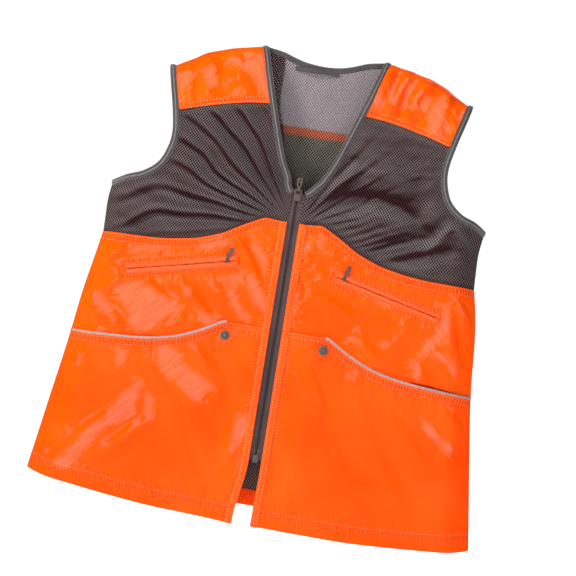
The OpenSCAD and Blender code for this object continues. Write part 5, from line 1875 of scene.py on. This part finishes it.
for name in ("main_slider", "main_pull"):
    finish_metal(name, SLIDER_METAL)
for name in ("insertion_pin", "retainer_box"):
    finish_metal(name, BOX_METAL)
for hand in ("left", "right"):
    for name in ("chest_slider_", "chest_pull_"):
        finish_metal(name + hand, PULL_METAL)
    for name in ("snap_cap_", "snap_socket_", "snap_stud_"):
        finish_metal(name + hand, GUNMETAL, edge=0.22)


# ------------------------------------------------------------------ floor, light, camera (metres)
AIM = Vector((0, 0, -0.35))


def make_floor():
    s = Shader("studio_floor")
    clouds = s.noise(s.object_place(), scale=3.0, detail=4.0)
    s.finish(s.mix(clouds, (0.90, 0.90, 0.90), (0.96, 0.96, 0.955)), 0.75,
             s.bump(clouds, distance=0.002, strength=0.1), emission_color=(1, 1, 1),
             emission_strength=0.85)
    bpy.ops.mesh.primitive_circle_add(vertices=128, radius=40, fill_type="NGON",
                                      location=(0, 0, -0.80))
    floor = bpy.context.object
    floor.name = "studio_floor"
    floor.data.materials.append(s.material)
    floor.visible_glossy = False


def make_world(matt=0.30, glossy=0.03, seen=1.08):
    """White surround; its strength for matt shading, for gloss, and seen by the camera."""
    world = bpy.data.worlds.new("studio")
    bpy.context.scene.world = world
    world.use_nodes = True
    nodes, links = world.node_tree.nodes, world.node_tree.links
    background = nodes["Background"]
    rays = nodes.new("ShaderNodeLightPath")
    shading = nodes.new("ShaderNodeMapRange")
    shading.inputs[3].default_value = matt
    shading.inputs[4].default_value = glossy
    links.new(rays.outputs["Is Glossy Ray"], shading.inputs[0])
    strength = nodes.new("ShaderNodeMix")
    links.new(rays.outputs["Is Camera Ray"], strength.inputs[0])
    links.new(shading.outputs[0], strength.inputs[2])
    strength.inputs[3].default_value = seen
    links.new(strength.outputs[0], background.inputs[1])
    background.inputs[0].default_value = (1, 1, 1, 1)


def make_light(name, place, size, power, color=(1, 1, 1), glossy=True):
    data = bpy.data.lights.new(name, "AREA")
    data.energy, data.size, data.color = power, size, color
    light = bpy.data.objects.new(name, data)
    bpy.context.scene.collection.objects.link(light)
    light.location = place
    light.rotation_euler = (AIM - Vector(place)).to_track_quat("-Z", "Y").to_euler()
    if not glossy:
        light.visible_glossy = False


def make_camera():
    """Looks along +Y, rolled a little; its view is `width` wide at the front of the vest."""
    lens, sensor, width = 85, 36, 0.864
    x, y, z = 0.0077, -16.5 * MM - width * lens / sensor, -0.330
    roll = math.radians(9.1)
    c, s = math.cos(roll), math.sin(roll)
    data = bpy.data.cameras.new("camera")
    data.lens = lens
    data.sensor_width = sensor
    camera = bpy.data.objects.new("camera", data)
    bpy.context.scene.collection.objects.link(camera)
    # columns: right, up, towards the viewer, place
    camera.matrix_world = Matrix(((c, -s, 0, x), (0, 0, -1, y), (s, c, 0, z), (0, 0, 0, 1)))
    bpy.context.scene.camera = camera


make_floor()
make_world()
make_light("key", (-1.6, -0.95, 1.05), size=0.5, power=52, color=(1.0, 0.985, 0.96), glossy=False)
make_light("softbox", (-0.62, -2.12, 0.16), size=1.05, power=9.5)
make_light("rim", (1.9, -0.9, -0.1), size=0.8, power=5.0, glossy=False)
make_light("fill", (1.0, -2.4, -0.5), size=1.4, power=7, color=(0.97, 0.985, 1.0), glossy=False)
make_light("back", (0.6, 2.0, 0.8), size=1.5, power=4)
make_camera()
bpy.context.scene.view_settings.view_transform = "Standard"
